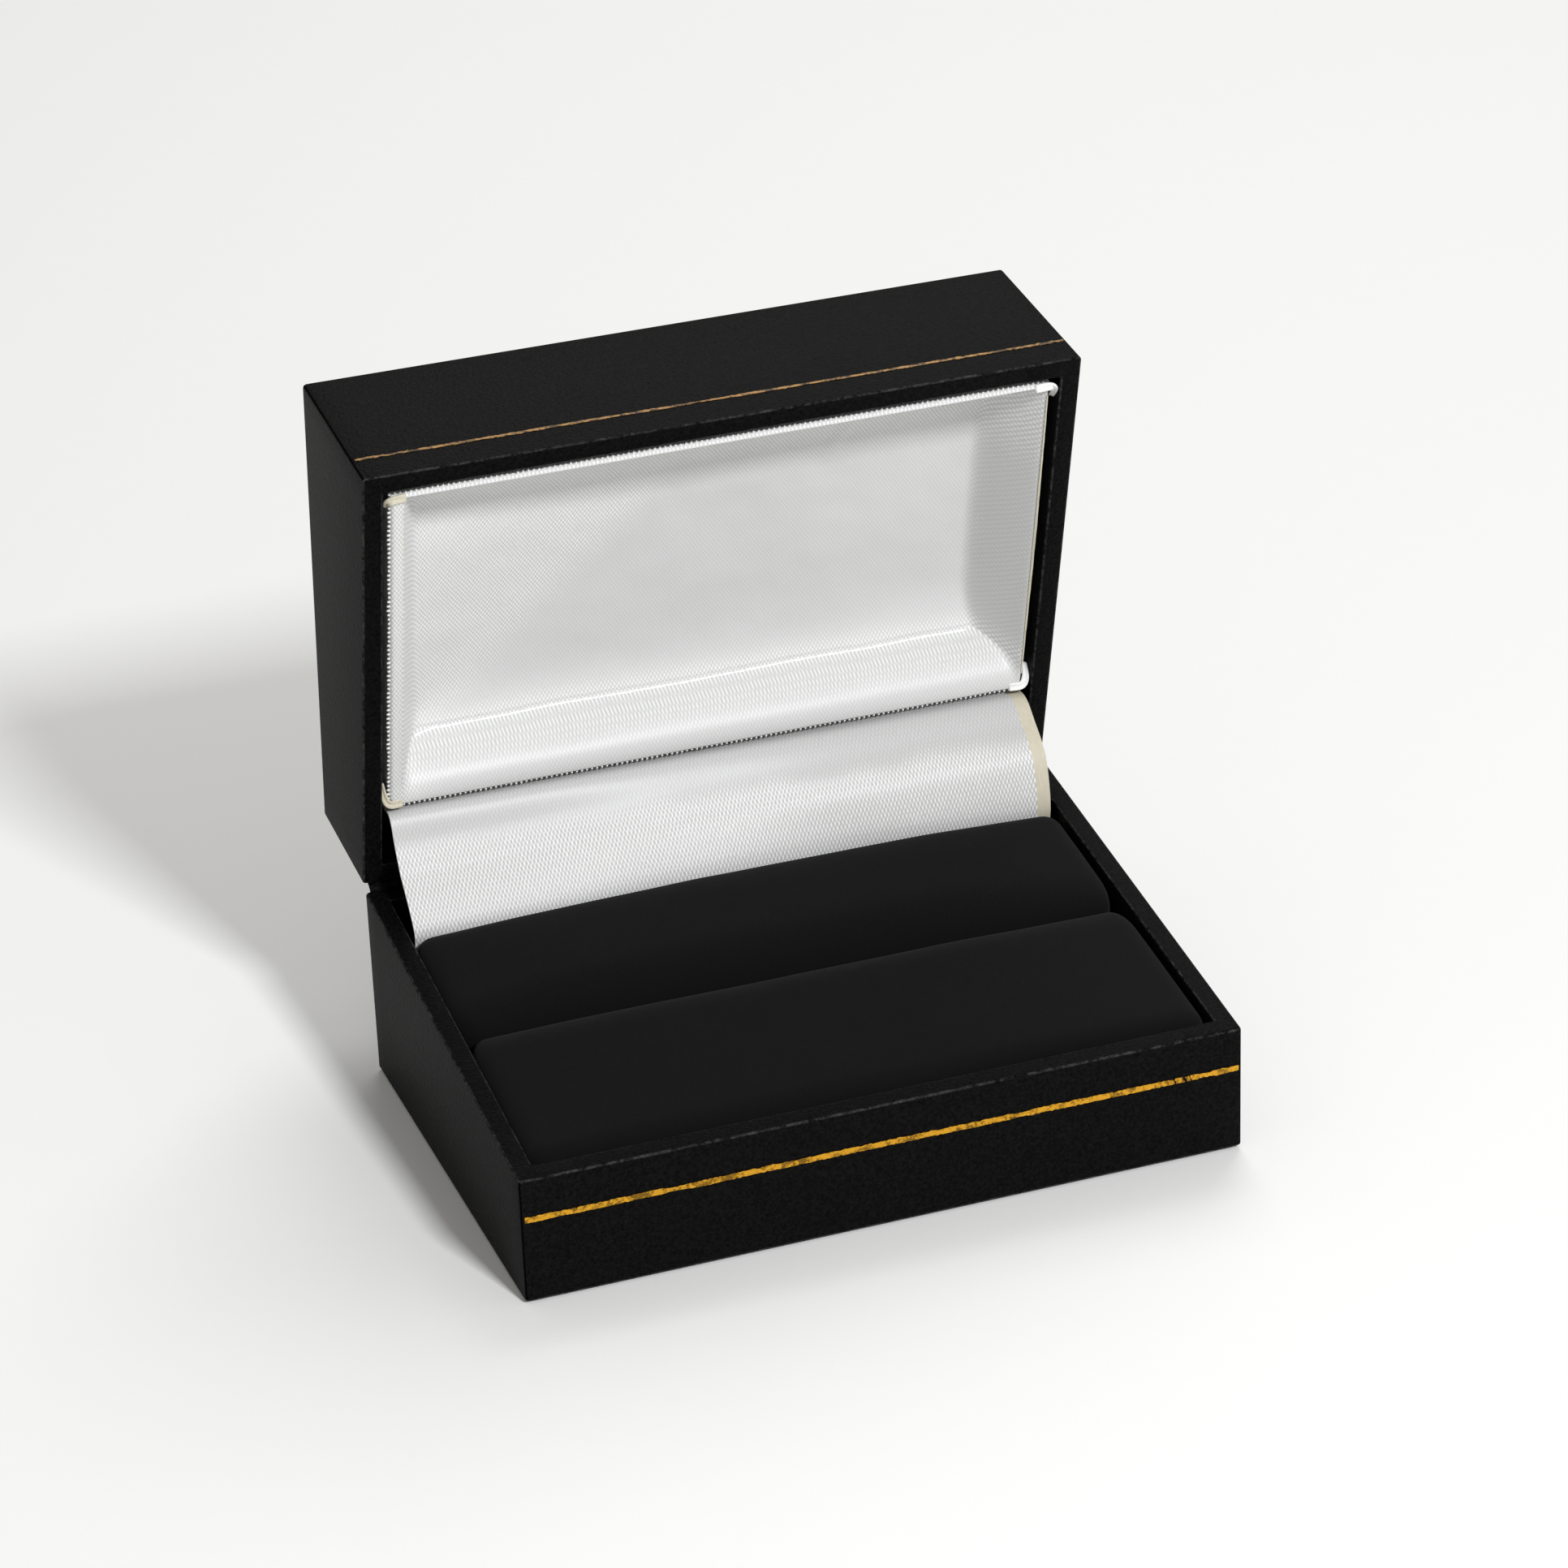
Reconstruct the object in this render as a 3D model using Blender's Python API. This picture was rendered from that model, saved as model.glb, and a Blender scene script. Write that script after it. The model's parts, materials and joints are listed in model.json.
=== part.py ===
"""Hinged presentation box for a pair of rings or cuff links, standing open.

A moulded base and a moulded lid meet on a sloping plane, so the base is taller at the rear and
the lid is taller at the front. Both are covered in leatherette that is turned in over the rim.
A steel hinge on the rear wall joins them. The lid holds a satin dish, and the base holds a
velvet pad in two halves with a ring slot between them.

World axes: +X to the box's right, +Y to the rear, +Z up. The origin is the centre of the base's
underside. Every lid piece is modelled shut and hangs on the lid_hinge empty, which opens it.
"""

import math

import bmesh
import bpy
from mathutils import Matrix, Vector

MM = 0.001

# Box
WIDTH = 76.0 * MM
DEPTH = 51.2 * MM
BASE_FRONT_HEIGHT = 13.8 * MM
BASE_REAR_HEIGHT = 20.8 * MM
CLOSED_HEIGHT = 35.5 * MM
RIM_GAP = 0.3 * MM
CORNER_RADIUS = 0.7 * MM
OPEN_ANGLE = math.radians(84)

# Shells and their covering
SHELL_WALL = 1.2 * MM
SHELL_FLOOR = 1.2 * MM
COVER = 0.3 * MM
GLUE = 0.15 * MM
TURN_IN = 4.0 * MM
BOTTOM_RETURN = 7.0 * MM
BOTTOM_SHEET = 0.2 * MM
BOTTOM_SHEET_INSET = 1.5 * MM

# Gold lines on the front walls
FOIL = 0.08 * MM
FOIL_GAP = 0.03 * MM
LINE_WIDTH = 0.7 * MM
BASE_LINE_BELOW_RIM = 4.35 * MM
LID_LINE_ABOVE_RIM = 4.0 * MM

# Hinge
PIN_RADIUS = 0.35 * MM
PIN_CLEARANCE = 0.06 * MM
LEAF = 0.3 * MM
HINGE_LENGTH = 50.0 * MM
HINGE_OUTSET = 0.5 * MM
KNUCKLES = 5
KNUCKLE_GAP = 0.15 * MM
KNUCKLE_CURL = 290.0
LEAF_END_GAP = 2.9 * MM
LEAF_SHOULDER = 1.0 * MM
NOTCH_CLEARANCE = 0.3 * MM
RIVET_RADIUS = 0.6 * MM
RIVET_HEAD_RADIUS = 1.3 * MM
RIVET_TAIL_RADIUS = 1.0 * MM
RIVET_HEAD = 0.4 * MM
RIVET_CLEARANCE = 0.1 * MM
RIVET_SPACING = 30.0 * MM
SPRING_WIDTH = 10.0 * MM
SPRING = 0.2 * MM
SPRING_FROM_LEAF_END = 1.5 * MM
SPRING_BOW = 2.0 * MM

# Pad in the base
PAD_SIDE_GAP = 0.8 * MM
PAD_FRONT_GAP = 0.4 * MM
HINGE_BAY = 6.2 * MM
PAD_BELOW_RIM = 0.3 * MM
PAD_THICKNESS = 7.5 * MM
PAD_EDGE_RADIUS = 4.5 * MM
PAD_CORNER_RADIUS = 4.0 * MM
PAD_SPLIT = 0.4 * MM
RING_SLOT_BEHIND_MIDDLE = 2.6 * MM
VELVET = 0.5 * MM
CARD = 0.8 * MM
CARD_FLOOR_GAP = 0.3 * MM
RING_SLOT_WIDTH = 3.0 * MM
RING_SLOT_END = 5.0 * MM

# Lining of the lid, measured along the rim plane and into the lid
LINER_SIDE_GAP = 0.9 * MM
CARD_FRONT_GAP = 0.23 * MM
SATIN_FRONT_GAP = 0.4 * MM
LINER_REAR_BAY = 7.0 * MM
LINER_BELOW_RIM = 0.5 * MM
LINER_FACE_GAP = 3.1 * MM
DISH_RUNS = (2.2 * MM, 9.0 * MM, 1.2 * MM)  # sides, front, rear
SKIRT_PAST_DISH = 2.1 * MM
LINER_CORNER_RADIUS = 1.5 * MM
SATIN = 0.25 * MM
SATIN_TURN = 3.0 * MM
WADDING = 1.2 * MM
WADDING_EDGE = 2.6 * MM
RIBBON = 0.3 * MM
RIBBON_SIDE_GAP = 0.7 * MM
RIBBON_TAIL = 8.0 * MM
RIBBON_LAP = 6.0 * MM
RIBBON_BULGE_UPPER = 3.0 * MM
RIBBON_BULGE_LOWER = 2.0 * MM

# Facets
CORNER_STEPS = 3
ROUND_STEPS = 20
EDGE_STEPS = 5
CURVE_STEPS = 12

WALL = SHELL_WALL + 2 * (COVER + GLUE)
SHELL_INSIDE = COVER + GLUE + SHELL_WALL
RIM_SLOPE = (BASE_REAR_HEIGHT - BASE_FRONT_HEIGHT) / DEPTH
RIM_ANGLE = math.atan(RIM_SLOPE)
COVER_BOTTOM = BOTTOM_SHEET + GLUE
HINGE = Vector((0, DEPTH / 2 + HINGE_OUTSET, BASE_REAR_HEIGHT + RIM_GAP / 2))
BARREL_INSIDE = PIN_RADIUS + PIN_CLEARANCE
BARREL_OUTSIDE = BARREL_INSIDE + LEAF
LEAF_FACE = HINGE_OUTSET + WALL + GLUE
LID_INSIDE = CLOSED_HEIGHT - COVER - GLUE - SHELL_FLOOR
LEAF_REACH = LID_INSIDE - LEAF_END_GAP - HINGE.z
RIVET_FROM_AXIS = (BARREL_OUTSIDE + LEAF_SHOULDER + LEAF_REACH) / 2
LINER_RIM = CARD + 2 * (SATIN + GLUE)
LINER_REAR = -WALL - LINER_REAR_BAY
LID_DEPTH_AT_LINER = (
    LID_INSIDE - BASE_REAR_HEIGHT - RIM_GAP - LINER_REAR * math.sin(RIM_ANGLE)
) / math.cos(RIM_ANGLE)
LINER_SKIRT = LID_DEPTH_AT_LINER - LINER_BELOW_RIM - LINER_FACE_GAP
DISH_DEPTH = LINER_SKIRT - SKIRT_PAST_DISH
PAD_FRONT = -DEPTH / 2 + WALL + PAD_FRONT_GAP
PAD_REAR = DEPTH / 2 - WALL - HINGE_BAY
PAD_HALF_WIDTH = WIDTH / 2 - WALL - PAD_SIDE_GAP
RING_SLOT = (PAD_FRONT + PAD_REAR) / 2 + RING_SLOT_BEHIND_MIDDLE


def clear_scene():
    for obj in list(bpy.data.objects):
        bpy.data.objects.remove(obj, do_unlink=True)


def material(name, colour, roughness, metallic=0.0):
    found = bpy.data.materials.new(name)
    found.use_nodes = True
    shader = found.node_tree.nodes["Principled BSDF"]
    shader.inputs["Base Color"].default_value = (*colour, 1)
    shader.inputs["Roughness"].default_value = roughness
    shader.inputs["Metallic"].default_value = metallic
    found.diffuse_color = (*colour, 1)
    return found


def rounded_rectangle(left, right, front, rear, radius):
    """The (x, y) points of a rectangle with round corners, anticlockwise from above."""
    corners = (
        (right - radius, rear - radius, 0),
        (left + radius, rear - radius, 90),
        (left + radius, front + radius, 180),
        (right - radius, front + radius, 270),
    )
    points = []
    for x, y, start in corners:
        for step in range(CORNER_STEPS + 1):
            angle = math.radians(start + 90 * step / CORNER_STEPS)
            points.append((x + radius * math.cos(angle), y + radius * math.sin(angle)))
    return points


def finish(name, bm, finish_material, smooth=False):
    """Turns a bmesh into a named object with its faces pointing out."""
    bmesh.ops.recalc_face_normals(bm, faces=bm.faces)
    mesh = bpy.data.meshes.new(name)
    bm.to_mesh(mesh)
    bm.free()
    mesh.materials.append(finish_material)
    if smooth:
        mesh.shade_smooth()
        mesh.set_sharp_from_angle(angle=math.radians(35))
    obj = bpy.data.objects.new(name, mesh)
    bpy.context.scene.collection.objects.link(obj)
    return obj


def loft(name, rings, finish_material, loop=False, smooth=False):
    """Joins rings of points, one after the other. A loop joins the last ring to the first,
    and otherwise the first and the last ring are capped."""
    bm = bmesh.new()
    built = [[bm.verts.new(point) for point in ring] for ring in rings]
    pairs = list(zip(built, built[1:]))
    if loop:
        pairs.append((built[-1], built[0]))
    for ring, following in pairs:
        for index in range(len(ring)):
            after = (index + 1) % len(ring)
            bm.faces.new((ring[index], ring[after], following[after], following[index]))
    if not loop:
        bm.faces.new(built[0])
        bm.faces.new(built[-1])
    return finish(name, bm, finish_material, smooth)


def box(name, low, high, finish_material):
    bm = bmesh.new()
    size = Vector(high) - Vector(low)
    middle = (Vector(high) + Vector(low)) / 2
    bmesh.ops.create_cube(bm, size=1, matrix=Matrix.Translation(middle) @ Matrix.Diagonal((*size, 1)))
    return finish(name, bm, finish_material)


def cutter(name, obj):
    """Marks a helper solid: it cuts others and is no piece itself."""
    obj.name = name
    obj.hide_render = True
    obj.display_type = "WIRE"
    return obj


def cut(obj, tool):
    modifier = obj.modifiers.new(tool.name, "BOOLEAN")
    modifier.operation = "DIFFERENCE"
    modifier.solver = "EXACT"
    modifier.object = tool


def hang_on_lid(obj, lid_hinge):
    """Gives a piece modelled shut its origin on the hinge axis and opens it with the lid."""
    obj.data.transform(Matrix.Translation(-HINGE))
    obj.parent = lid_hinge


def rim_height(y):
    return BASE_FRONT_HEIGHT + (y + DEPTH / 2) * RIM_SLOPE


def under_rim(depth):
    return lambda y: rim_height(y) - depth


class Half:
    """The base or the shut lid: heights counted from its rim and from its closed face."""

    def __init__(self, is_lid):
        self.is_lid = is_lid

    def from_rim(self, depth):
        if self.is_lid:
            return lambda y: rim_height(y) + RIM_GAP + depth
        return under_rim(depth)

    def from_face(self, depth):
        if self.is_lid:
            return lambda y: CLOSED_HEIGHT - depth
        return lambda y: COVER_BOTTOM + depth

    def ring(self, inset, height):
        """A ring round the half, inset from its outer faces, at the height given for each y."""
        radius = max(CORNER_RADIUS - inset, CORNER_RADIUS / 4)
        outline = rounded_rectangle(
            inset - WIDTH / 2, WIDTH / 2 - inset, inset - DEPTH / 2, DEPTH / 2 - inset, radius
        )
        return [(x, y, height(y)) for x, y in outline]


def shell(name, half, finish_material):
    inset = COVER + GLUE
    inside = inset + SHELL_WALL
    rings = [
        half.ring(inset, half.from_face(inset)),
        half.ring(inset, half.from_rim(inset)),
        half.ring(inside, half.from_rim(inset)),
        half.ring(inside, half.from_face(inset + SHELL_FLOOR)),
    ]
    return loft(name, rings, finish_material)


def cover_over_rim(half):
    """The rings of a covering from its outer face over the rim, and back along its inner side."""
    return [
        half.ring(0, half.from_rim(0)),
        half.ring(WALL, half.from_rim(0)),
        half.ring(WALL, half.from_rim(TURN_IN)),
        half.ring(WALL - COVER, half.from_rim(TURN_IN)),
        half.ring(WALL - COVER, half.from_rim(COVER)),
        half.ring(COVER, half.from_rim(COVER)),
    ]


def base_cover(name, half, finish_material):
    rings = [
        half.ring(BOTTOM_RETURN, half.from_face(COVER)),
        half.ring(BOTTOM_RETURN, half.from_face(0)),
        half.ring(0, half.from_face(0)),
        *cover_over_rim(half),
        half.ring(COVER, half.from_face(COVER)),
    ]
    return loft(name, rings, finish_material, loop=True)


def lid_cover(name, half, finish_material):
    rings = [
        half.ring(0, half.from_face(0)),
        *cover_over_rim(half),
        half.ring(COVER, half.from_face(COVER)),
    ]
    return loft(name, rings, finish_material)


def bottom_sheet(name, finish_material):
    outline = rounded_rectangle(
        BOTTOM_SHEET_INSET - WIDTH / 2,
        WIDTH / 2 - BOTTOM_SHEET_INSET,
        BOTTOM_SHEET_INSET - DEPTH / 2,
        DEPTH / 2 - BOTTOM_SHEET_INSET,
        CORNER_RADIUS,
    )
    rings = [[(x, y, z) for x, y in outline] for z in (0, BOTTOM_SHEET)]
    return loft(name, rings, finish_material)


def gold_line(name, middle_height, finish_material):
    half_length = WIDTH / 2 - CORNER_RADIUS
    outside = -DEPTH / 2 - FOIL_GAP
    low = (-half_length, outside - FOIL, middle_height - LINE_WIDTH / 2)
    high = (half_length, outside, middle_height + LINE_WIDTH / 2)
    return box(name, low, high, finish_material)


def hinge_notch(name):
    """The cut across both rear rims that the hinge's straps and barrel lie in."""
    half_length = HINGE_LENGTH / 2 + NOTCH_CLEARANCE
    reach = BARREL_OUTSIDE + NOTCH_CLEARANCE
    low = (-half_length, DEPTH / 2 - WALL - GLUE, HINGE.z - reach)
    high = (half_length, HINGE.y + reach, HINGE.z + reach)
    return cutter(name, box(name, low, high, None))


def turned(name, stations, centre, finish_material):
    """A solid of revolution about the Y direction through centre: (y, radius) stations."""
    rings = []
    for y, radius in stations:
        ring = []
        for step in range(ROUND_STEPS):
            angle = 2 * math.pi * step / ROUND_STEPS
            ring.append((centre.x + radius * math.cos(angle), y, centre.z + radius * math.sin(angle)))
        rings.append(ring)
    return loft(name, rings, finish_material, smooth=True)


def rivet_places(side):
    """(x, z) of the rivets of the base's leaf with side -1, and of the lid's leaf with side 1."""
    z = HINGE.z + side * RIVET_FROM_AXIS
    return [Vector((x, 0, z)) for x in (-RIVET_SPACING / 2, RIVET_SPACING / 2)]


def rivet(name, place, finish_material):
    """A rivet whose flat head lies sunk in the shell's rear face, under the covering."""
    head = DEPTH / 2 - COVER - GLUE
    tail = HINGE.y - LEAF_FACE - LEAF - GLUE
    stations = [
        (head, RIVET_HEAD_RADIUS),
        (head - RIVET_HEAD, RIVET_HEAD_RADIUS),
        (head - RIVET_HEAD, RIVET_RADIUS),
        (tail, RIVET_RADIUS),
        (tail, RIVET_TAIL_RADIUS),
        (tail - RIVET_HEAD, RIVET_TAIL_RADIUS),
    ]
    return turned(name, stations, place, finish_material)


def rivet_hole(name, place):
    """The hole of a rivet through shell, turned-in covering and leaf, with its head's seat."""
    seat = DEPTH / 2 - COVER - GLUE - RIVET_HEAD - RIVET_CLEARANCE
    stations = [
        (DEPTH / 2 - COVER - GLUE / 2, RIVET_HEAD_RADIUS + RIVET_CLEARANCE),
        (seat, RIVET_HEAD_RADIUS + RIVET_CLEARANCE),
        (seat, RIVET_RADIUS + RIVET_CLEARANCE),
        (HINGE.y - LEAF_FACE - 2 * LEAF, RIVET_RADIUS + RIVET_CLEARANCE),
    ]
    return cutter(name, turned(name, stations, place, None))


def strap_sections(side):
    """The pairs of (y, z) points, wall side and hollow side, from a leaf's plate round the pin."""
    wall = HINGE.y - LEAF_FACE
    hollow = wall - LEAF
    pairs = [
        ((wall, HINGE.z + side * BARREL_OUTSIDE), (hollow, HINGE.z + side * BARREL_INSIDE)),
    ]
    for step in range(CURVE_STEPS + 1):
        angle = math.radians(90 - KNUCKLE_CURL * step / CURVE_STEPS)
        across = math.cos(angle)
        up = side * math.sin(angle)
        pairs.append(
            (
                (HINGE.y + BARREL_OUTSIDE * across, HINGE.z + BARREL_OUTSIDE * up),
                (HINGE.y + BARREL_INSIDE * across, HINGE.z + BARREL_INSIDE * up),
            )
        )
    return pairs


def hinge_leaf(name, side, first_knuckle, finish_material):
    """A pressed leaf: a flat plate inside the rear wall, with straps that curl round the pin.
    The base's leaf reaches down, with side -1, and the lid's leaf reaches up, with side 1."""
    bm = bmesh.new()
    pitch = HINGE_LENGTH / KNUCKLES
    own = range(first_knuckle, KNUCKLES, 2)
    edges = [-HINGE_LENGTH / 2, HINGE_LENGTH / 2]
    for index in own:
        edges.append(-HINGE_LENGTH / 2 + index * pitch + KNUCKLE_GAP / 2)
        edges.append(-HINGE_LENGTH / 2 + (index + 1) * pitch - KNUCKLE_GAP / 2)
    edges.sort()
    wall = HINGE.y - LEAF_FACE
    far = HINGE.z + side * LEAF_REACH
    shoulder = HINGE.z + side * (BARREL_OUTSIDE + LEAF_SHOULDER)

    def station(x, wall_point, hollow_point):
        return bm.verts.new((x, *wall_point)), bm.verts.new((x, *hollow_point))

    near_verts = [station(x, (wall, shoulder), (wall - LEAF, shoulder)) for x in edges]
    far_verts = [station(x, (wall, far), (wall - LEAF, far)) for x in edges]
    knuckle_spans = {edges.index(-HINGE_LENGTH / 2 + i * pitch + KNUCKLE_GAP / 2) for i in own}
    for index in range(len(edges) - 1):
        near, near_next = near_verts[index], near_verts[index + 1]
        end, end_next = far_verts[index], far_verts[index + 1]
        bm.faces.new((near[0], near_next[0], end_next[0], end[0]))
        bm.faces.new((near[1], near_next[1], end_next[1], end[1]))
        bm.faces.new((end[0], end_next[0], end_next[1], end[1]))
        if index not in knuckle_spans:
            bm.faces.new((near[0], near_next[0], near_next[1], near[1]))
            continue
        left, right = near, near_next
        for wall_point, hollow_point in strap_sections(side):
            left_next = station(edges[index], wall_point, hollow_point)
            right_next = station(edges[index + 1], wall_point, hollow_point)
            bm.faces.new((left[0], right[0], right_next[0], left_next[0]))
            bm.faces.new((left[1], right[1], right_next[1], left_next[1]))
            bm.faces.new((left[0], left[1], left_next[1], left_next[0]))
            bm.faces.new((right[0], right[1], right_next[1], right_next[0]))
            left, right = left_next, right_next
        bm.faces.new((left[0], right[0], right[1], left[1]))
    for near, end in ((near_verts[0], far_verts[0]), (near_verts[-1], far_verts[-1])):
        bm.faces.new((near[0], near[1], end[1], end[0]))
    return finish(name, bm, finish_material, smooth=True)


def hinge_pin(name, finish_material):
    rings = []
    for x in (-HINGE_LENGTH / 2, HINGE_LENGTH / 2):
        ring = []
        for step in range(ROUND_STEPS):
            angle = 2 * math.pi * step / ROUND_STEPS
            y = HINGE.y + PIN_RADIUS * math.cos(angle)
            ring.append((x, y, HINGE.z + PIN_RADIUS * math.sin(angle)))
        rings.append(ring)
    return loft(name, rings, finish_material, smooth=True)


def opened(y, z):
    """Where a point of the shut lid's section goes when the lid stands open."""
    turn = Matrix.Rotation(-OPEN_ANGLE, 3, "X")
    moved = turn @ (Vector((0, y, z)) - HINGE) + HINGE
    return Vector((moved.y, moved.z))


def strip(name, path, half_width, thickness, finish_material):
    """A flat strip across the box: its section follows the path of (y, z) points, which is its
    middle, with the thickness laid off on both sides."""
    ring_front, ring_back = [], []
    for index, point in enumerate(path):
        before = path[max(index - 1, 0)]
        after = path[min(index + 1, len(path) - 1)]
        along = (after - before).normalized()
        aside = Vector((-along.y, along.x)) * thickness / 2
        ring_front.append(point + aside)
        ring_back.append(point - aside)
    section = ring_front + ring_back[::-1]
    rings = [[(x, point.x, point.y) for point in section] for x in (-half_width, half_width)]
    return loft(name, rings, finish_material, smooth=True)


def curve(start, handle_a, handle_b, end, steps=CURVE_STEPS):
    """Points along a cubic curve, without its first point."""
    points = []
    for step in range(1, steps + 1):
        t = step / steps
        s = 1 - t
        points.append(s**3 * start + 3 * s * s * t * handle_a + 3 * s * t * t * handle_b + t**3 * end)
    return points


def hinge_spring(name, finish_material):
    """A bowed strip from the base's leaf to the lid's leaf, in front of the barrel."""
    face = HINGE.y - LEAF_FACE - LEAF - GLUE - SPRING / 2
    reach = LEAF_REACH - SPRING_FROM_LEAF_END
    foot = Vector((face, HINGE.z - reach))
    head = opened(face, HINGE.z + reach)
    bow_low = Vector((face - SPRING_BOW, HINGE.z + SPRING_BOW))
    bow_high = opened(face - SPRING_BOW, HINGE.z - SPRING_BOW)
    path = [foot, *curve(foot, bow_low, bow_high, head)]
    return strip(name, path, SPRING_WIDTH / 2, SPRING, finish_material)


def in_rim_frame(along, depth):
    """(y, z) of a point of the shut lid: along the rim plane from its rear edge, and into it."""
    y = DEPTH / 2 + along * math.cos(RIM_ANGLE) - depth * math.sin(RIM_ANGLE)
    z = BASE_REAR_HEIGHT + RIM_GAP + along * math.sin(RIM_ANGLE) + depth * math.cos(RIM_ANGLE)
    return y, z


def liner_extent():
    """Half the width of the lid's liner, and its front and rear edge along the rim plane. The
    liner leans towards the lid's front wall: the card's far edge has to clear the shell, and the
    satin's turned-in edge has to clear the covering."""

    def front(wall, gap, depth):
        lean = (LINER_BELOW_RIM + depth) * math.sin(RIM_ANGLE)
        return (-DEPTH + wall + gap + lean) / math.cos(RIM_ANGLE)

    card_front = front(SHELL_INSIDE, CARD_FRONT_GAP, LINER_SKIRT) - SATIN - GLUE
    satin_front = front(WALL, SATIN_FRONT_GAP, SATIN_TURN)
    return WIDTH / 2 - WALL - LINER_SIDE_GAP, max(card_front, satin_front), LINER_REAR


def liner_ring(side_inset, front_inset, rear_inset, depth):
    half_width, front, rear = liner_extent()
    outline = rounded_rectangle(
        side_inset - half_width,
        half_width - side_inset,
        front + front_inset,
        rear - rear_inset,
        LINER_CORNER_RADIUS,
    )
    return [(x, *in_rim_frame(along, depth)) for x, along in outline]


def mitre(run):
    """How far out a layer moves, for each unit that it lies deeper, where wall and floor meet."""
    return math.tan(math.atan2(DISH_DEPTH, run) / 2)


def dish_floor(below):
    """The ring of the dish's floor, for the face that lies this far behind the satin's face."""
    insets = [LINER_RIM + run - below * mitre(run) for run in DISH_RUNS]
    return liner_ring(*insets, LINER_BELOW_RIM + DISH_DEPTH + below)


def level_ring(inset, depth):
    """A ring of the liner with the same inset on all sides, counted from the liner's top."""
    return liner_ring(inset, inset, inset, LINER_BELOW_RIM + depth)


def liner_satin(name, finish_material):
    rings = [
        dish_floor(0),
        level_ring(LINER_RIM, 0),
        level_ring(0, 0),
        level_ring(0, SATIN_TURN),
        level_ring(SATIN, SATIN_TURN),
        level_ring(SATIN, SATIN),
        level_ring(LINER_RIM - SATIN, SATIN),
        dish_floor(SATIN),
    ]
    return loft(name, rings, finish_material)


def liner_card(name, finish_material):
    """The card collar that the satin is folded over: four walls, open both ways."""
    outside = SATIN + GLUE
    inside = outside + CARD
    rings = [
        level_ring(outside, outside),
        level_ring(outside, LINER_SKIRT),
        level_ring(inside, LINER_SKIRT),
        level_ring(inside, outside),
    ]
    return loft(name, rings, finish_material, loop=True)


def liner_wadding(name, finish_material):
    """The soft filling inside the collar, which gives the satin its dished face."""
    below = SATIN + GLUE
    inset = below + CARD + GLUE
    rings = [
        dish_floor(below),
        level_ring(inset, WADDING_EDGE),
        level_ring(inset, DISH_DEPTH + below + WADDING),
    ]
    return loft(name, rings, finish_material)


def satin_ribbon(name, finish_material):
    """The strip over the hinge: glued behind the liner's rear skirt and behind the pad."""
    lap = LINER_REAR + GLUE + RIBBON / 2
    lap_start = opened(*in_rim_frame(lap, LINER_BELOW_RIM + RIBBON_LAP))
    lap_end = opened(*in_rim_frame(lap, LINER_BELOW_RIM))
    bend = opened(*in_rim_frame(lap, -RIBBON_BULGE_UPPER))
    behind_pad = PAD_REAR + GLUE + RIBBON / 2
    pad_top = Vector((behind_pad, rim_height(PAD_REAR) - PAD_BELOW_RIM - PAD_EDGE_RADIUS))
    above_pad = Vector((behind_pad, rim_height(PAD_REAR) + RIBBON_BULGE_LOWER))
    tail = Vector((behind_pad, pad_top.y - RIBBON_TAIL))
    path = [lap_start, lap_end, *curve(lap_end, bend, above_pad, pad_top), tail]
    return strip(name, path, WIDTH / 2 - WALL - RIBBON_SIDE_GAP, RIBBON, finish_material)


def pad_card(name, finish_material):
    """The platform under the pads, parallel to the rim, on a skirt that stands on the floor."""
    top = PAD_BELOW_RIM + PAD_THICKNESS
    floor = COVER_BOTTOM + COVER + GLUE + SHELL_FLOOR + CARD_FLOOR_GAP

    def ring(inset, height):
        outline = rounded_rectangle(
            inset - PAD_HALF_WIDTH,
            PAD_HALF_WIDTH - inset,
            PAD_FRONT + inset,
            PAD_REAR - inset,
            CARD,
        )
        return [(x, y, height(y)) for x, y in outline]

    rings = [
        ring(0, under_rim(top)),
        ring(0, lambda y: floor),
        ring(CARD, lambda y: floor),
        ring(CARD, under_rim(top + CARD)),
    ]
    card = loft(name, rings, finish_material)
    half_length = PAD_HALF_WIDTH - RING_SLOT_END
    platform = rim_height(RING_SLOT) - top
    low = (-half_length, RING_SLOT - RING_SLOT_WIDTH / 2, platform - 3 * CARD)
    high = (half_length, RING_SLOT + RING_SLOT_WIDTH / 2, platform + 2 * CARD)
    cut(card, cutter("ring_slot_tool", box("ring_slot_tool", low, high, None)))
    return card


def pillow_rings(front, rear, inset):
    """Rings of a soft block, from its flat underside up to its top, inset on all sides."""
    bottom = PAD_BELOW_RIM + PAD_THICKNESS - GLUE
    edge = PAD_EDGE_RADIUS - inset
    rings = [pillow_ring(front, rear, inset, bottom)]
    for step in range(EDGE_STEPS + 1):
        angle = math.pi / 2 * step / EDGE_STEPS
        pulled_in = inset + edge * (1 - math.cos(angle))
        depth = PAD_BELOW_RIM + inset + edge * (1 - math.sin(angle))
        rings.append(pillow_ring(front, rear, pulled_in, depth))
    return rings


def pillow_ring(front, rear, inset, depth):
    height = under_rim(depth)
    radius = max(PAD_CORNER_RADIUS - inset / 2, VELVET)
    outline = rounded_rectangle(
        inset - PAD_HALF_WIDTH, PAD_HALF_WIDTH - inset, front + inset, rear - inset, radius
    )
    return [(x, y, height(y)) for x, y in outline]


def pad_half(side, front, rear, velvet, foam):
    """One half of the pad: a foam strip under a velvet cover that is open below."""
    outside = pillow_rings(front, rear, 0)
    inside = pillow_rings(front, rear, VELVET)
    cover = loft("pad_velvet_" + side, inside[::-1] + outside, velvet, smooth=True)
    core = loft("pad_foam_" + side, pillow_rings(front, rear, VELVET + GLUE), foam, smooth=True)
    return cover, core


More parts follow.
